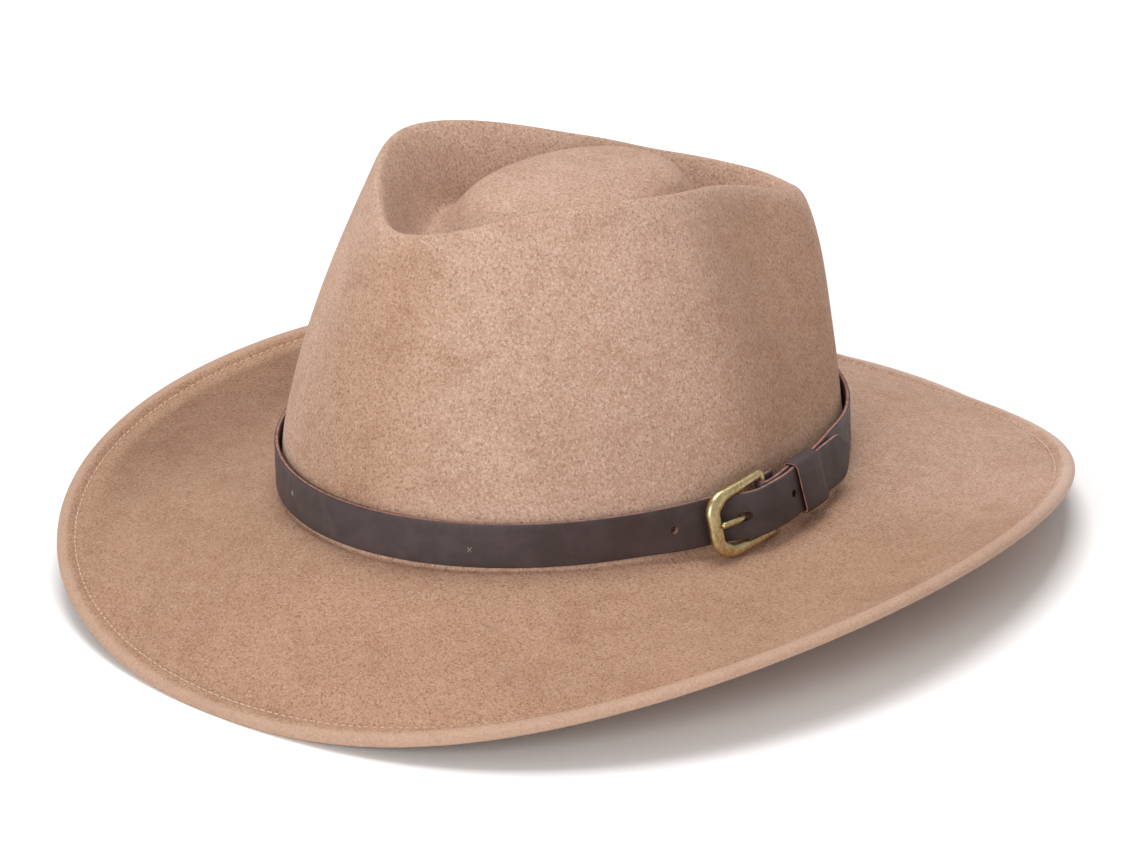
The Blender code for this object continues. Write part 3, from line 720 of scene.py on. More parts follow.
@dataclass
class LeatherBand:
    """The strap round the crown's foot and the loop that holds its free end."""

    form: FeltForm
    matrix: Matrix
    finishes: list
    width: float = 0.0153
    thick: float = 0.0016
    edge_round: float = 0.00042
    foot: float = 0.0020
    rise: float = 0.0020
    climb: Window = Window((-0.014, 0.014), (0.040, 0.080))
    clearance: float = 0.0003
    hole: float = 0.0026
    hole_front: float = -0.0355
    hole_free: float = 0.0085
    tail: float = 0.0060
    free: float = 0.0480
    clip_length: float = 0.0090
    clip_height: float = 0.0050
    clip_power: float = 2.4
    keeper: float = 0.0011
    keeper_round: float = 0.00030
    keeper_start: float = 0.0124
    keeper_width: float = 0.0130
    keeper_lean: float = 0.12
    keeper_room: float = 0.0003
    stand: float = 0.0014
    drop: tuple[float, float] = (0.1, 1.3)
    settling: float = 1.5
    punch_depth: float = 2.0
    slot_depth: float = 3.5
    slot_margin: float = 0.001
    spring: float = 0.0018
    lean: float = 0.17
    leaning: Window = Window((-0.052, -0.024), (0.030, 0.080))
    heel_turn: float = HEEL_TURN
    heel_bar: float = 0.0022
    frame_length: float = 0.0225
    frame_bar: float = 0.0050
    prong: float = 0.0021
    prong_eye: float = 0.0015
    prong_hole: float = -0.0117
    tacks: tuple[tuple[float, float], ...] = ((-0.1795, 0.0104), (-0.1025, 0.0083))

    def __post_init__(self) -> None:
        """Work out the layers' distances off the felt."""
        self.layer = self.thick + self.clearance
        self.on_felt = self.clearance + self.thick / 2
        self.over_keeper = self.on_felt + self.keeper + self.clearance
        self.fold = self.heel_bar / 2 + self.clearance + self.thick / 2
        self.heel_offset = self.on_felt + self.fold
        self.eye = self.heel_bar / 2 + self.clearance + self.prong_eye / 2
        self.over_eye = self.heel_offset + max(
            self.eye + self.prong_eye / 2 + self.clearance + self.thick / 2, self.fold + self.layer)
        self.band_middle = self.foot + self.width / 2
        lean = self.keeper_lean * self.width / 2
        self.keeper_begin = self.keeper_start - lean
        self.keeper_end = self.keeper_start + self.keeper_width + lean
        self.course = BandCourse(self)

    def under_strap(self, length: np.ndarray) -> np.ndarray:
        """Distance off the felt of the layer that leaves the heel bar towards the rear."""
        at_bar = self.heel_offset + self.fold
        held = self.over_keeper + self.stand
        start, end = (share * self.keeper_begin for share in self.drop)
        down = at_bar + (held - at_bar) * ease(length, start, end)
        settle = ease(length, self.keeper_begin, self.keeper_end + self.settling * self.width)
        return down + (self.on_felt - held) * settle

    def free_strap(self, length: np.ndarray) -> np.ndarray:
        """Distance off the felt of the free end, from before the front bar to its tip."""
        length = np.asarray(length, float)
        lifted = ease(length, -self.frame_length, -self.eye - self.prong)
        rise = self.on_felt + (self.over_eye - self.on_felt) * lifted
        above = self.under_strap(np.maximum(length, 0)) + self.layer
        above = above + self.spring * ease(length, self.keeper_end, self.free)
        settled = rise + (above - self.over_eye) * ease(length, 0, self.drop[1] * self.keeper_begin)
        return np.where(length <= 0, rise, np.maximum(settled, above))

    def stations(self) -> tuple[np.ndarray, np.ndarray, np.ndarray]:
        """Middle line of the strap from its folded tail to its tip.

        Returns:
            Lengths, distances off the felt and half heights.
        """
        girth = self.course.girth
        tail = np.linspace(self.tail, 0, 6)
        fold = np.linspace(-math.pi / 2, math.pi / 2, 17)[1:]
        over = np.linspace(0, self.keeper_end + 2 * self.width, 60)[1:]
        free_start = -self.frame_length - 2 * self.frame_bar
        body = np.linspace(over[-1], girth + free_start, 230)[1:]
        clip = self.free - self.clip_length
        free = np.concatenate([np.linspace(free_start, clip, 90)[1:],
                               clip + self.clip_length * np.sin(np.linspace(0, math.pi / 2, 14)[1:])])
        lengths = np.concatenate([tail, -self.fold * np.cos(fold), over, body, girth + free])
        offsets = np.concatenate([np.full(len(tail), self.on_felt),
                                  self.heel_offset + self.fold * np.sin(fold), self.under_strap(over),
                                  np.full(len(body), self.on_felt), self.free_strap(free)])
        near_tip = np.clip((lengths - girth - clip) / self.clip_length, 0, 1)
        return lengths, offsets, self.width / 2 - self.clip_height * near_tip ** self.clip_power

    def build_strap(self) -> None:
        """Carry the strap's section along the strap's course and punch its holes."""
        section, cut = strip_section(self.width, self.thick, self.edge_round, 8)
        lengths, offsets, half = self.stations()
        middle = self.course.at(lengths, offsets, self.course.middle(lengths))
        forward = np.gradient(middle, axis=0)
        side = unit(np.stack([forward[:, 1], -forward[:, 0], 0 * forward[:, 0]], -1))
        height = section[:, 0] * (half / (self.width / 2))[:, None]
        points = middle[:, None] + side[:, None] * section[None, :, 1:] + height[..., None] * UP
        points = carried(self.course.leaned(points, lengths[:, None]), self.matrix)
        rows, count = points.shape[:2]
        piece = Piece("band_strap", points, tube_faces(rows, count), self.finishes, "brown_leather")
        piece.tint(np.concatenate([np.tile(cut, rows - 1), [1, 1]]))
        piece.face_outward(LEATHER_SHARP)
        self.punch(piece)
        piece.fasten("hat_band")

    def punch(self, piece: Piece) -> None:
        """Cut the strap's round holes, the prong's hole and the slot for its eye.

        Args:
            piece: The strap.
        """
        course = self.course
        reach = self.eye + self.prong_eye / 2 + self.clearance
        top = self.heel_offset + self.fold + self.thick / 2 + self.clearance / 2
        slit = self.prong / 2 + 2 * self.clearance
        round_hole = self.hole / 2
        dyed, raw = self.finishes
        through = self.punch_depth * self.thick
        cuts = [(self.hole_front, self.on_felt, round_hole, round_hole, through, raw),
                (self.hole_free, self.free_strap(self.hole_free), round_hole, round_hole, through, dyed),
                (self.prong_hole, self.free_strap(self.prong_hole), self.hole, slit,
                 self.slot_depth * self.thick, dyed),
                (0.0, top / 2 - self.slot_margin, reach, slit, top + 2 * self.slot_margin, dyed)]
        upright = Matrix.Rotation(math.pi / 2, 4, "X")
        cutters = []
        for length, offset, half_length, half_height, depth, wall in cuts:
            mesh = bpy.data.meshes.new("cutter")
            body = bmesh.new()
            bmesh.ops.create_cone(body, cap_ends=True, segments=28, radius1=1, radius2=1, depth=depth,
                                  matrix=upright)
            bmesh.ops.scale(body, vec=(half_length, 1, half_height), verts=body.verts)
            normal = course.normal(length)
            angle = math.atan2(normal[1], normal[0]) + math.pi / 2
            point = course.leaned(course.at(length, offset, course.middle(length)), length)
            place = Matrix.Translation(Vector(point)) @ Matrix.Rotation(angle, 4, "Z")
            body.transform(self.matrix @ place)
            body.to_mesh(mesh)
            body.free()
            mesh.materials.append(wall)
            cutters.append(linked("cutter", mesh))
            cut = piece.item.modifiers.new("hole", "BOOLEAN")
            cut.object = cutters[-1]
            cut.material_mode = "TRANSFER"
        solid = piece.item.evaluated_get(bpy.context.evaluated_depsgraph_get())
        mesh = bpy.data.meshes.new_from_object(solid)
        piece.item.modifiers.clear()
        piece.item.data = mesh
        for cutter in cutters:
            bpy.data.objects.remove(cutter)

    def build_keeper(self) -> None:
        """Carry the keeper's section round both layers of the strap, leaning with its wear."""
        low = self.clearance + self.keeper
        high = self.over_keeper + self.layer + self.thick / 2 + self.clearance + self.keeper_room
        half = self.width / 2 + self.keeper_room
        corner = self.keeper
        loop = []
        for off, up, start in ((high - corner, half - corner, 0), (low + corner, half - corner, 90),
                               (low + corner, -half + corner, 180), (high - corner, -half + corner, 270)):
            angle = np.radians(start + np.linspace(0, 90, 7))
            loop.append(np.stack([off + corner * np.cos(angle), up + corner * np.sin(angle),
                                  np.cos(angle), np.sin(angle)], 1))
        loop = np.concatenate(loop)
        front = np.linspace(0, 1, 9)[1:-1, None]
        loop = np.concatenate([loop, loop[-1] + (loop[0] - loop[-1]) * front])
        section, cut = strip_section(self.keeper_width, self.keeper, self.keeper_round, 6)
        along = self.keeper_start + self.keeper_width / 2 + section[None, :, 0]
        out = loop[:, None, 2:] * (self.keeper / 2 + section[None, :, 1:])
        up = loop[:, None, 1] + out[..., 1]
        length = along - self.keeper_lean * up
        raised = self.under_strap(length) - self.over_keeper
        off = np.maximum(loop[:, None, 0] + out[..., 0] + raised, self.clearance)
        points = self.course.leaned(self.course.at(length, off, self.course.middle(length) + up), length)
        rows, count = points.shape[:2]
        piece = Piece("strap_keeper", carried(points, self.matrix),
                      grid_quads(rows, count, wrap=True).tolist(), self.finishes, "brown_leather")
        piece.tint(np.tile(cut, rows))
        piece.face_outward(LEATHER_SHARP)
        piece.fasten("keeper_loop")


def swept(points: np.ndarray, half_wide: np.ndarray, half_deep: np.ndarray, depth_axis: np.ndarray,
          sides: int, closed: bool, square: float) -> np.ndarray:
    """Rings of a rounded section along a line.

    The section is a superellipse: wide sgn(c)|c|^k and deep sgn(s)|s|^k with c, s the cosine and sine.

    Args:
        points: Line to follow.
        half_wide: Half width at each point.
        half_deep: Half depth at each point.
        depth_axis: Direction of the section's depth.
        sides: Points round the section.
        closed: True if the line closes on itself.
        square: Power k, 1 for an ellipse and less for squarer sides.

    Returns:
        Rows of points of the line, columns of sides.
    """
    if closed:
        forward = unit(np.roll(points, -1, 0) - np.roll(points, 1, 0))
    else:
        forward = unit(np.gradient(points, axis=0))
    wide = unit(np.cross(forward, depth_axis))
    deep = np.cross(wide, forward)
    angle = full_circle(sides)
    c, s = (np.sign(part) * np.abs(part) ** square for part in (np.cos(angle), np.sin(angle)))
    return points[:, None] + wide[:, None] * (half_wide[:, None] * c)[..., None] \
        + deep[:, None] * (half_deep[:, None] * s)[..., None]


@dataclass
class BrassBuckle:
    """Cast buckle: stout round front bar, tapering arms, thin heel bar and its prong."""

    band: LeatherBand
    brass: bpy.types.Material
    height: float = 0.0226
    bar_depth: float = 0.0036
    arm_width: float = 0.0037
    heel_width: float = 0.0027
    corner: float = 0.0070
    bow: float = 0.0006
    turned: float = math.radians(5.5)
    sides: int = 28
    step: float = 0.00045
    square: float = 0.86
    lift: float = 0.6
    stout_from: float = 0.62
    heel_stout: tuple[float, float] = (0.2, 0.5)
    tip_place: float = 0.12
    tip_lift: float = 0.3
    prong_sides: int = 16
    prong_rows: int = 90
    prong_taper: tuple[float, float] = (-0.010, -0.006)
    tip_round: float = 0.0009

    def front_offset(self) -> float:
        """Distance off the felt of the front bar's middle, just clear over the rising strap."""
        inner_side = -self.band.frame_length + self.band.frame_bar
        return float(self.band.free_strap(inner_side)) + self.lift * self.band.thick + self.band.clearance \
            + self.bar_depth / 2

    def outline(self) -> np.ndarray:
        """Outer line of the frame as lengths and heights: an oblong with round corners, evenly stepped.

        Returns:
            Points of the closed line.
        """
        half = self.height / 2
        front = -self.band.frame_length - self.band.frame_bar / 2
        heel = self.band.heel_bar / 2
        points = []
        for along, up, radius, start in ((front, half, self.corner, 90), (front, -half, self.corner, 180),
                                         (heel, -half, self.band.heel_bar, 270),
                                         (heel, half, self.band.heel_bar, 0)):
            angle = np.radians(start + np.linspace(0, 90, 13))
            middle = np.array([along + math.copysign(radius, -along), up - math.copysign(radius, up)])
            points.append(middle + radius * np.stack([np.cos(angle), np.sin(angle)], 1))
        line = np.concatenate(points + [points[0][:1]])
        line[:, 0] -= self.bow * (1 - (line[:, 1] / half) ** 2) * ease(-line[:, 0], 0.5 * -front, -front)
        length = run(line)
        count = round(length[-1] / self.step)
        return sampled(line, length, np.arange(count) * length[-1] / count)

    def build_frame(self) -> None:
        """Carry the bar's section round the frame."""
        band, course = self.band, self.band.course
        outline = self.outline()
        forward = unit(np.roll(outline, -1, 0) - np.roll(outline, 1, 0))
        inward = np.stack([-forward[:, 1], forward[:, 0]], 1)
        share = np.clip(-outline[:, 0] / band.frame_length, 0, 1)
        stout = ease(share, self.stout_from, 1)
        arm = self.heel_width + (self.arm_width - self.heel_width) * share
        on_arm = ease(np.abs(outline[:, 1]), self.height / 2 - 1.5 * self.heel_width,
                      self.height / 2 - 0.5 * self.heel_width)
        thin = band.heel_bar + (arm - band.heel_bar) * np.maximum(on_arm, ease(share, *self.heel_stout))
        half_wide = (thin + (band.frame_bar - self.arm_width) * stout) / 2
        half_deep = (band.heel_bar + (self.bar_depth - band.heel_bar) * share) / 2
        line = outline + inward * half_wide[:, None]
        offset = band.heel_offset + (self.front_offset() - band.heel_offset) * share
        c, s = math.cos(self.turned), math.sin(self.turned)
        line = line @ np.array([[c, s], [-s, c]])
        points = course.at(line[:, 0], offset, course.middle(0.0) + line[:, 1])
        rings = swept(points, half_wide, half_deep, course.normal(line[:, 0]), self.sides, True,
                      self.square)
        rings = carried(course.leaned(rings, line[:, :1]), band.matrix)
        faces = grid_quads(len(rings), self.sides, wrap=True).tolist()
        piece = Piece("brass_frame", rings, faces, [self.brass], "antique_brass")
        piece.face_outward(BRASS_SHARP)
        piece.fasten("buckle_frame")

    def prong_line(self) -> tuple[np.ndarray, np.ndarray]:
        """Middle line of the prong: nearly once round the heel bar, then out through the strap.

        Returns:
            Lengths along the strap and distances off the felt.
        """
        band = self.band
        angles = np.radians(np.linspace(-120, 150, 13))
        hole = float(band.free_strap(band.prong_hole))
        past_hole = band.prong_hole + np.array([3.0, 0.6, -0.8]) * band.prong
        tip = -band.frame_length + self.tip_place * band.frame_bar
        over_bar = self.front_offset() + self.tip_lift * self.bar_depth + band.clearance + band.prong / 2
        along = np.concatenate([band.eye * np.cos(angles), past_hole, [tip]])
        offset = np.concatenate([band.heel_offset + band.eye * np.sin(angles),
                                 [band.heel_offset + 0.2 * band.eye, hole - 0.55 * band.prong,
                                  hole + 0.8 * band.prong, over_bar]])
        return along, offset

    def build_prong(self) -> None:
        """Carry a round section along the prong's line and round off its tip."""
        band, course = self.band, self.band.course
        along, offset = self.prong_line()
        knots = course.leaned(course.at(along, offset, course.middle(along)), along)
        length = run(knots)
        even = np.linspace(0, length[-1], self.prong_rows)
        line = sampled(knots, length, even)
        for _ in range(5):
            line[1:-1] = (line[:-2] + 2 * line[1:-1] + line[2:]) / 4
        left = length[-1] - even
        half = band.prong_eye / 2 + (band.prong - band.prong_eye) / 2 * ease(-left, *self.prong_taper)
        half *= np.sqrt(np.clip(1 - (1 - np.clip(left / self.tip_round, 0, 1)) ** 2, 0.02, 1))
        rings = swept(line, half, half, UP[None], self.prong_sides, False, 1.0)
        piece = Piece("brass_prong", carried(rings, band.matrix), tube_faces(len(rings), self.prong_sides),
                      [self.brass], "antique_brass")
        piece.face_outward(BRASS_SHARP)
        piece.fasten("buckle_prong")


def capsules(centres: np.ndarray, forward: np.ndarray, up: np.ndarray, length: float, radius: float,
             sink: float) -> tuple[np.ndarray, list]:
    """Short lengths of thread that dive in at both ends.

    Along each one x = L/2 sin(v), its radius is r cos(v)^0.5, and it sinks by sink sin(v)^4.

    Args:
        centres: Middle of each thread.
        forward: Direction of each thread.
        up: Direction away from the material.
        length: Length of a thread.
        radius: Half its thickness.
        sink: Depth of its ends under its middle.

    Returns:
        Points and quads.
    """
    rows, sides = 7, 6
    v = np.radians(np.linspace(-86, 86, rows))[None, :, None, None]
    angle = full_circle(sides)[None, None, :, None]
    forward, up, centres = (part[:, None, None] for part in (forward, up, centres))
    ring = radius * np.sqrt(np.cos(v)) * (np.cos(angle) * np.cross(forward, up) + np.sin(angle) * up)
    points = centres + length / 2 * np.sin(v) * forward + ring - sink * np.sin(v) ** 4 * up
    quads = grid_quads(rows, sides) + (np.arange(len(centres)) * rows * sides)[:, None, None]
    return points.reshape(-1, 3), quads.reshape(-1, 4).tolist()


class Side(Enum):
    """Face of the brim that a row of stitches lies on."""

    UPPER = 1
    UNDER = -1


@dataclass
class Stitching:
    """Machine stitches along the turned edge and the two hand tacks that hold the band."""

    grid: Grid
    band: LeatherBand
    edge_thread: bpy.types.Material
    tack_thread: bpy.types.Material
    pitch: float = 0.0030
    length: float = 0.0025
    radius: float = 0.00028
    sink: float = 2.2
    bury: float = 1.1
    buried: Window = Window((0.02, 0.08), (0.30, 0.42))
    tack_length: float = 0.0026
    tack_thin: float = 0.8
    tack_rise: float = 0.6
    tack_leans: tuple[float, float] = (0.75, -0.85)

    def sew(self, name: str, thread: bpy.types.Material, centres: np.ndarray, forward: np.ndarray,
            up: np.ndarray, length: float, radius: float) -> None:
        """Make one piece of short threads.

        Args:
            name: Name of the piece.
            thread: The thread's finish.
            centres: Middle of each thread.
            forward: Direction of each thread.
            up: Direction away from the material.
            length: Length of a thread.
            radius: Half its thickness.
        """
        points, quads = capsules(centres, forward, up, length, radius, self.sink * self.radius)
        piece = Piece(name, points, quads, [thread], "wool_felt")
        piece.face_outward(FELT_SHARP)
        piece.fasten()

    def build_edge(self, side: Side) -> None:
        """Lay one row of stitches in the groove of the turned edge.

        Args:
            side: Face of the brim.
        """
        grid = self.grid
        row = int(np.argmin(np.abs(grid.distance - self.band.form.edge_turn)))
        skin = grid.upper if side is Side.UPPER else grid.under
        line, normals = (np.concatenate([part[row], part[row][:1]]) for part in (skin, grid.normals))
        length = run(line)
        count = round(length[-1] / self.pitch)
        places = (np.arange(count) + 0.5) * length[-1] / count
        start, end = (sampled(line, length, (places + step) % length[-1])
                      for step in (-self.length / 2, self.length / 2))
        up = unit(sampled(normals * side.value, length, places))
        rise = self.radius * (0.5 - self.bury * self.buried.at(places / length[-1]))
        self.sew(f"edge_stitches_{side.name.lower()}", self.edge_thread,
                 (start + end) / 2 + up * rise[:, None], unit(end - start), up, self.length, self.radius)

    def build_tacks(self) -> None:
        """Sew the small crossed tacks through the band."""
        band, course = self.band, self.band.course
        centres, forward, up = [], [], []
        for length, height in band.tacks:
            normal = course.normal(length)
            point = course.at(length, band.on_felt + band.thick / 2, height)
            for lean in self.tack_leans:
                centres.append(point + normal * self.radius * self.tack_rise)
                forward.append(lean * np.cross(normal, UP) + UP)
                up.append(normal)
        self.sew("band_tacks", self.tack_thread, carried(np.array(centres), band.matrix),
                 turned(unit(np.array(forward)), band.matrix), turned(np.array(up), band.matrix),
                 self.tack_length, self.radius * self.tack_thin)


def feed(tree: bpy.types.NodeTree, socket: bpy.types.NodeSocket, value: object) -> None:
    """Link a socket to another one, or set its value."""
    if isinstance(value, bpy.types.NodeSocket):
        tree.links.new(value, socket)
    else:
        socket.default_value = value


def add_node(tree: bpy.types.NodeTree, kind: str, **values: object) -> bpy.types.Node:
    """Add one node and set its fields and sockets.

    Args:
        tree: Tree to add it to.
        kind: Node type.
        values: Field names or socket names, with spaces as underscores. A socket value joins a link.

    Returns:
        The node.
    """
    node = tree.nodes.new(kind)
    for key, value in values.items():
        if hasattr(node, key) and not isinstance(value, bpy.types.NodeSocket):
            setattr(node, key, value)
            continue
        name = key.replace("_", " ").lower()
        feed(tree, next(s for s in node.inputs if s.name.lower() == name and s.enabled), value)
    return node


class Finish:
    """Ground of a node finish: a Principled shader, object coordinates and small helpers."""

    def __init__(self, name: str) -> None:
        """Make an empty finish.

        Args:
            name: Name of the material.
        """
        self.material = bpy.data.materials.new(name)
        self.material.use_nodes = True
        self.tree = self.material.node_tree
        self.shader = self.tree.nodes["Principled BSDF"]
        self.place = add_node(self.tree, "ShaderNodeTexCoord").outputs["Object"]

    def set(self, **values: object) -> None:
        """Set or link sockets of the shader, named with underscores for spaces."""
        for name, value in values.items():
            feed(self.tree, self.shader.inputs[name.replace("_", " ")], value)

    def noise(self, size: float, detail: float = 3.0, rough: float = 0.5, twist: float = 0.0,
              stretch: tuple[float, float, float] = (1.0, 1.0, 1.0)) -> bpy.types.NodeSocket:
        """Noise whose lumps are of a real size.

        Args:
            size: Size of a lump in metres.
            detail: Number of finer layers.
            rough: Strength of the finer layers.
            twist: Warping of the lumps.
            stretch: Factors on the three axes.

        Returns:
            The noise's factor.
        """
        mapped = add_node(self.tree, "ShaderNodeMapping", Vector=self.place, Scale=stretch)
        return add_node(self.tree, "ShaderNodeTexNoise", Vector=mapped.outputs[0], Scale=1 / size,
                        Detail=detail, Roughness=rough, Distortion=twist).outputs["Fac"]

    def ramp(self, value: bpy.types.NodeSocket, low: float, high: float, start: float = 0.0,
             end: float = 1.0) -> bpy.types.NodeSocket:
        """Smoothly map low..high to start..end."""
        return add_node(self.tree, "ShaderNodeMapRange", interpolation_type="SMOOTHSTEP", Value=value,
                        From_Min=low, From_Max=high, To_Min=start, To_Max=end).outputs["Result"]

    def mix(self, share: object, first: object, second: object, blend: str = "MIX") -> bpy.types.NodeSocket:
        """Mix two colours.

        Args:
            share: Number or socket.
            first: Colour or socket.
            second: Colour or socket.
            blend: How the second goes over the first.

        Returns:
            The mixed colour.
        """
        node = self.tree.nodes.new("ShaderNodeMix")
        node.data_type = "RGBA"
        node.blend_type = blend
        for index, value in ((0, share), (6, first), (7, second)):
            feed(self.tree, node.inputs[index], value)
        return node.outputs[2]

    def total(self, *values: bpy.types.NodeSocket) -> bpy.types.NodeSocket:
        """Sum of two numbers."""
        node = add_node(self.tree, "ShaderNodeMath", operation="ADD")
        for socket, value in zip(node.inputs, values):
            feed(self.tree, socket, value)
        return node.outputs[0]

    def bump(self, height: bpy.types.NodeSocket, depth: float, strength: float) -> None:
        """Raise the surface by a height of a real depth in metres."""
        node = add_node(self.tree, "ShaderNodeBump", Height=height, Distance=depth, Strength=strength)
        self.set(Normal=node.outputs[0])

    def attribute(self, name: str) -> bpy.types.NodeSocket:
        """Number kept for each point of the piece."""
        return add_node(self.tree, "ShaderNodeAttribute", attribute_name=name).outputs["Fac"]


class Coat(NamedTuple):
    """Colour put on where noise of a size rises from low to high, up to a share."""

    colour: str
    size: float
    low: float
    high: float
    share: float = 1.0
    detail: float = 3.0
    rough: float = 0.5
    twist: float = 0.0
    stretch: tuple[float, float, float] = (1.0, 1.0, 1.0)


@dataclass(frozen=True)
class Look:
    """What all finishes share: a ground colour with coats over it, then a surface of their own."""

    name: str
    ground: str
    coats: tuple[Coat, ...]

    def surface(self, finish: Finish) -> None:
        """Set the shine and the relief, which each look has of its own."""
        raise NotImplementedError(self.name)

    def over(self, finish: Finish, colour: object) -> object:
        """Colour after what lies over the coats."""
        return colour

    def make(self) -> bpy.types.Material:
        """Build the finish.

        Returns:
            The material.
        """
        finish = Finish(self.name)
        colour = linear(self.ground)
        for coat in self.coats:
            lumps = finish.noise(coat.size, coat.detail, coat.rough, coat.twist, coat.stretch)
            share = finish.ramp(lumps, coat.low, coat.high, 0, coat.share)
            colour = finish.mix(share, colour, linear(coat.colour))
        finish.set(Base_Color=self.over(finish, colour))
        self.surface(finish)
        return finish.material


@dataclass(frozen=True)
class WoolFelt(Look):
    """Milled wool felt, raised by brushing to a short nap of crossing fibres, over a soft cloudy dye.

    The coats are the main dye, russet patches, pale milling, dark fibres and light fibres; painted shade is
    multiplied in over them.
    """

    name: str = "brushed_wool_felt"
    ground: str = "B6937D"
    coats: tuple[Coat, ...] = (
        Coat("C19D88", 0.060, 0.34, 0.68, 1.0, 3, 0.5, 0.3),
        Coat("A67C65", 0.018, 0.46, 0.70, 0.42, 3, 0.55, 0.4),
        Coat("CBAB98", 0.0060, 0.36, 0.72, 0.45, 3, 0.6, 0.3, (1.0, 1.0, 1.8)),
        Coat("8A6C57", 0.00095, 0.46, 0.66, 0.72, 2, 0.8, 0.4),
        Coat("DCC6B8", 0.00070, 0.50, 0.68, 0.60, 2, 0.8, 0.6, (1.0, 1.15, 0.8)),
    )
    rubbed: str = "DCC3B6"
    # Warm colour of the painted shade.
    warm_painted_shade: str = "E4DACF"
    # Neutral colour of the painted shade on the outer brim.
    away: str = "DAD6D3"
    sheen: str = "E9D3C4"

    def over(self, finish: Finish, colour: object) -> object:
        """Rub the edge pale, then multiply in painted shade: warm on the brim, up the wall's front and
        behind each side, and neutral on the outer brim at the wearer's right.
        """
        rub = finish.ramp(finish.attribute("rub"), 0.1, 1.0, 0, 0.5)
        colour = finish.mix(rub, colour, linear(self.rubbed))
        # Multiply in the painted shade: warm, then neutral.
        for name, shade in (("nap", self.warm_painted_shade), ("far_painted_shade", self.away)):
            share = finish.ramp(finish.attribute(name), 0.0, 1.0)
            colour = finish.mix(share, colour, linear(shade), "MULTIPLY")
        return colour

    def surface(self, finish: Finish) -> None:
        """Set a matt sheen and a short nap."""
        finish.set(Roughness=0.96, Specular_IOR_Level=0.10, Sheen_Weight=0.12, Sheen_Roughness=0.5,
                   Sheen_Tint=linear(self.sheen))
        nap = finish.total(finish.noise(0.0008, 3, 0.7, 0.8), finish.noise(0.0030, 2, 0.5, 0.3))
        finish.bump(nap, 0.0005, 0.5)


@dataclass(frozen=True)
class GrainLeather(Look):
    """Dyed and waxed strap leather: a fine pressed grain, a soft shine, worn places and pale scuffs."""

    name: str = "waxed_brown_leather"
    ground: str = "3A2D2C"
    coats: tuple[Coat, ...] = (
        Coat("453737", 0.011, 0.38, 0.68, 1.0, 4, 0.6, 0.5),
        Coat("8A7A74", 0.0016, 0.74, 0.79, 0.5, 2, 0.8, 1.0, (1.0, 1.0, 1.6)),
    )
    grain: float = 0.00045

    def surface(self, finish: Finish) -> None:
        """Set a soft uneven shine and the pressed grain's cells."""
        shine = finish.ramp(finish.noise(0.004, 3, 0.6), 0.3, 0.7, 0.48, 0.58)
        finish.set(Roughness=shine, Specular_IOR_Level=0.45)
        cells = add_node(finish.tree, "ShaderNodeTexVoronoi", Vector=finish.place, Scale=1 / self.grain,
                         feature="DISTANCE_TO_EDGE").outputs["Distance"]
        finish.bump(finish.ramp(cells, 0.0, 0.25), 0.00003, 0.3)


@dataclass(frozen=True)
class CutLeather(Look):
    """Cut edge of the strap, left raw: undyed pinkish fibre with a little of the dye run in."""

    name: str = "raw_cut_leather"
    ground: str = "A8776C"
    coats: tuple[Coat, ...] = (Coat("6B443D", 0.0022, 0.42, 0.70, 1.0, 4, 0.7, 1.0),)

    def surface(self, finish: Finish) -> None:
        """Set a dull, fibrous surface."""
        finish.set(Roughness=0.9, Specular_IOR_Level=0.2)
        finish.bump(finish.noise(0.0005, 3, 0.7), 0.0002, 0.6)


@dataclass(frozen=True)
class AntiqueBrass(Look):
    """Cast brass, darkened and then tumbled: bright on the high parts and olive in the hollows."""

    name: str = "tumbled_antique_brass"
    ground: str = "B7A472"
    coats: tuple[Coat, ...] = (
        Coat("DCCB9E", 0.0016, 0.34, 0.70, 1.0, 4, 0.7, 0.3),
        Coat("75663F", 0.0007, 0.56, 0.80, 0.55, 3, 0.7, 0.5),
    )

    def surface(self, finish: Finish) -> None:
        """Set an uneven metal shine and a fine cast relief."""
        shine = finish.ramp(finish.noise(0.0012, 3, 0.6), 0.3, 0.7, 0.30, 0.44)
        finish.set(Metallic=1.0, Roughness=shine)
        finish.bump(finish.noise(0.0006, 3, 0.6), 0.00005, 0.4)


@dataclass(frozen=True)
class SewingThread(Look):
    """Spun thread: its shaded plies are the ground."""

    def surface(self, finish: Finish) -> None:
        """Set a dull sheen and the twist of the plies."""
        finish.set(Roughness=0.7, Sheen_Weight=0.2)
        finish.bump(finish.noise(0.0003, 2), 0.0001, 0.5)

    @classmethod
    def of(cls, name: str, colour: str, shade: str) -> "SewingThread":
        """Thread of a name, a colour and the shade between its plies."""
        return cls(name, shade, (Coat(colour, 0.0004, 0.35, 0.65, 1.0, 2, 0.6, 0.5),))


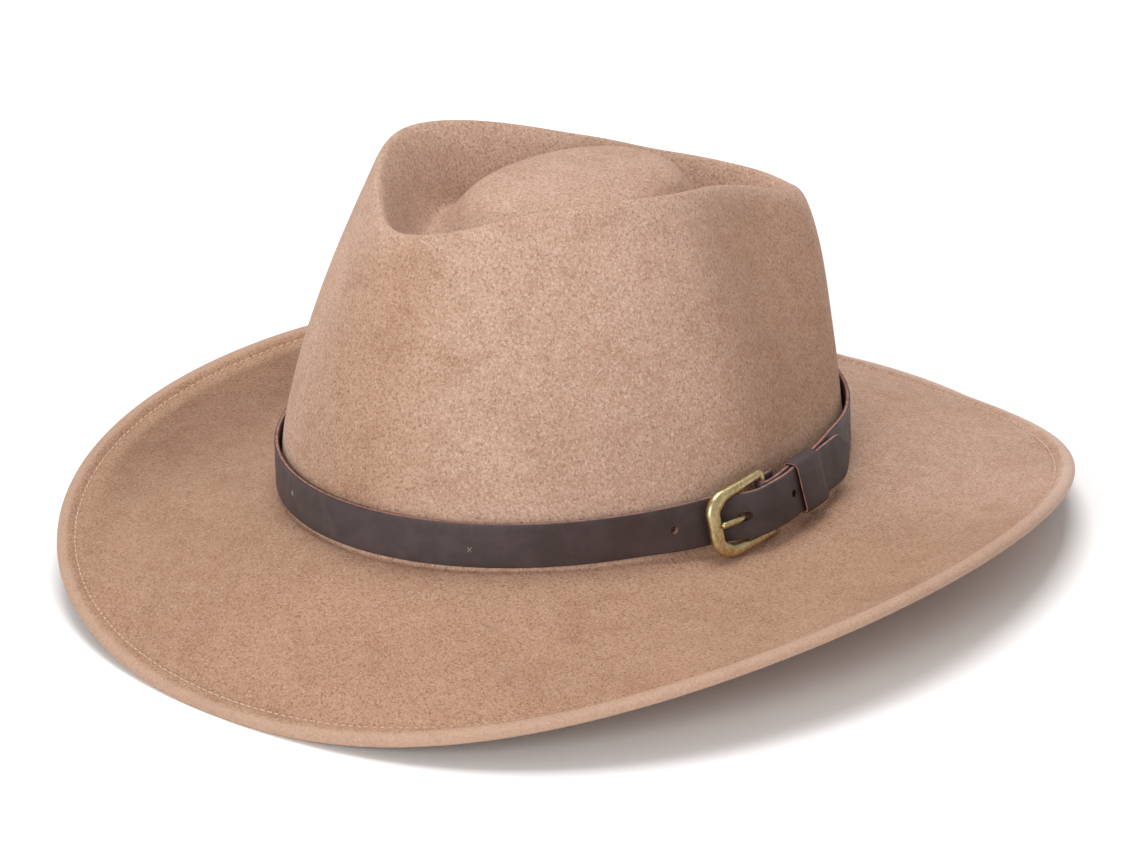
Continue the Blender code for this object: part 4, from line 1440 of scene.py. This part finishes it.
@dataclass
class Studio:
    """Plain pale floor, soft light and the camera at the photograph's angle."""

    azimuth: float = math.radians(46.0)
    elevation: float = math.radians(21.119)
    roll: float = math.radians(-1.798)
    pixels_per_metre: float = 3003.0
    distance: float = 3.0135
    aim: tuple[float, float, float] = (0.0, 0.0, 0.049)
    aim_pixel: tuple[float, float] = (560.3, 326.0)
    image: tuple[int, int] = (1134, 851)
    sensor: float = 36.0
    far: float = 50.0
    floor_half: float = 6.0
    lit_point: tuple[float, float, float] = (0.0, 0.0, 0.06)
    surround: float = 0.48

    def build_camera(self, matrix: Matrix) -> None:
        """Set the camera so that the aim falls on its pixel: the view's axes in the head's frame, placed.

        Args:
            matrix: Placement of the head's frame.
        """
        a, e, r = self.azimuth, self.elevation, self.roll
        back = Vector((math.sin(a) * math.cos(e), -math.cos(a) * math.cos(e), math.sin(e)))
        level = Vector((math.cos(a), math.sin(a), 0))
        upright = back.cross(level)
        right = level * math.cos(r) + upright * math.sin(r)
        up = upright * math.cos(r) - level * math.sin(r)
        focal = self.pixels_per_metre * self.distance
        ray = -back * focal + right * (self.image[0] / 2 - self.aim_pixel[0]) \
            - up * (self.image[1] / 2 - self.aim_pixel[1])
        axis = -ray.normalized()
        right = (right - axis * right.dot(axis)).normalized()
        axes = Matrix((right, axis.cross(right), axis)).transposed().to_4x4()
        axes.translation = Vector(self.aim) + back * self.distance
        data = bpy.data.cameras.new("camera")
        data.sensor_width = self.sensor
        data.lens = self.sensor * focal / self.image[0]
        data.clip_end = self.far
        camera = linked("camera", data)
        camera.matrix_world = matrix @ axes
        bpy.context.scene.camera = camera

    def build_floor(self) -> None:
        """Lay the plain pale floor."""
        half = self.floor_half
        mesh = bpy.data.meshes.new("floor")
        mesh.from_pydata([(-half, -half, 0), (half, -half, 0), (half, half, 0), (-half, half, 0)], [],
                         [(0, 1, 2, 3)])
        finish = Finish("pale_floor")
        finish.set(Base_Color=finish.mix(finish.noise(0.5, 2), linear("FBFBFA"), linear("FDFDFD")),
                   Roughness=0.9, Specular_IOR_Level=0.1)
        mesh.materials.append(finish.material)
        linked("floor", mesh)

    def add_light(self, name: str, place: tuple[float, float, float], size: float, power: float,
                  colour: str) -> None:
        """Add one large soft light that faces the hat.

        Args:
            name: Name of the light.
            place: Its place in metres.
            size: Side of its square face.
            power: Power in watts.
            colour: Colour of its light.
        """
        data = bpy.data.lights.new(name, "AREA")
        data.size = size
        data.energy = power
        data.color = linear(colour)[:3]
        light = linked(name, data)
        light.location = place
        light.rotation_euler = (Vector(self.lit_point) - Vector(place)).to_track_quat("-Z", "Y").to_euler()

    def build_light(self) -> None:
        """Set a soft key in front of the hat, a soft light over it and an even white surround."""
        self.add_light("key", (0.85, -2.30, 1.02), 1.2, 35.0, "FFFDFC")
        self.add_light("over", (-0.15, 0.25, 2.3), 1.3, 36.0, "FFFFFF")
        world = bpy.data.worlds.new("surround")
        world.use_nodes = True
        ground = world.node_tree.nodes["Background"]
        ground.inputs["Color"].default_value = (1, 1, 1, 1)
        ground.inputs["Strength"].default_value = self.surround
        scene = bpy.context.scene
        scene.world = world
        scene.view_settings.view_transform = "Standard"
        scene.view_settings.look = "None"


def main() -> None:
    """Build the hat's pieces in order, dress them and set the studio."""
    logging.basicConfig(level=logging.INFO, format="%(message)s")
    felt = FeltBody()
    matrix = felt.resting()
    band = LeatherBand(felt.form, matrix, [GrainLeather().make(), CutLeather().make()])
    buckle = BrassBuckle(band, AntiqueBrass().make())
    thread = SewingThread.of("edge_thread", "D6BAAA", "B8967F").make()
    tack = SewingThread.of("tack_thread", "94847C", "6C5E57").make()
    stitching = Stitching(felt.build(matrix, WoolFelt().make()), band, thread, tack)
    band.build_strap()
    band.build_keeper()
    buckle.build_frame()
    buckle.build_prong()
    for side in Side:
        stitching.build_edge(side)
    stitching.build_tacks()
    studio = Studio()
    studio.build_floor()
    studio.build_camera(matrix)
    studio.build_light()


if __name__ == "__main__":
    main()
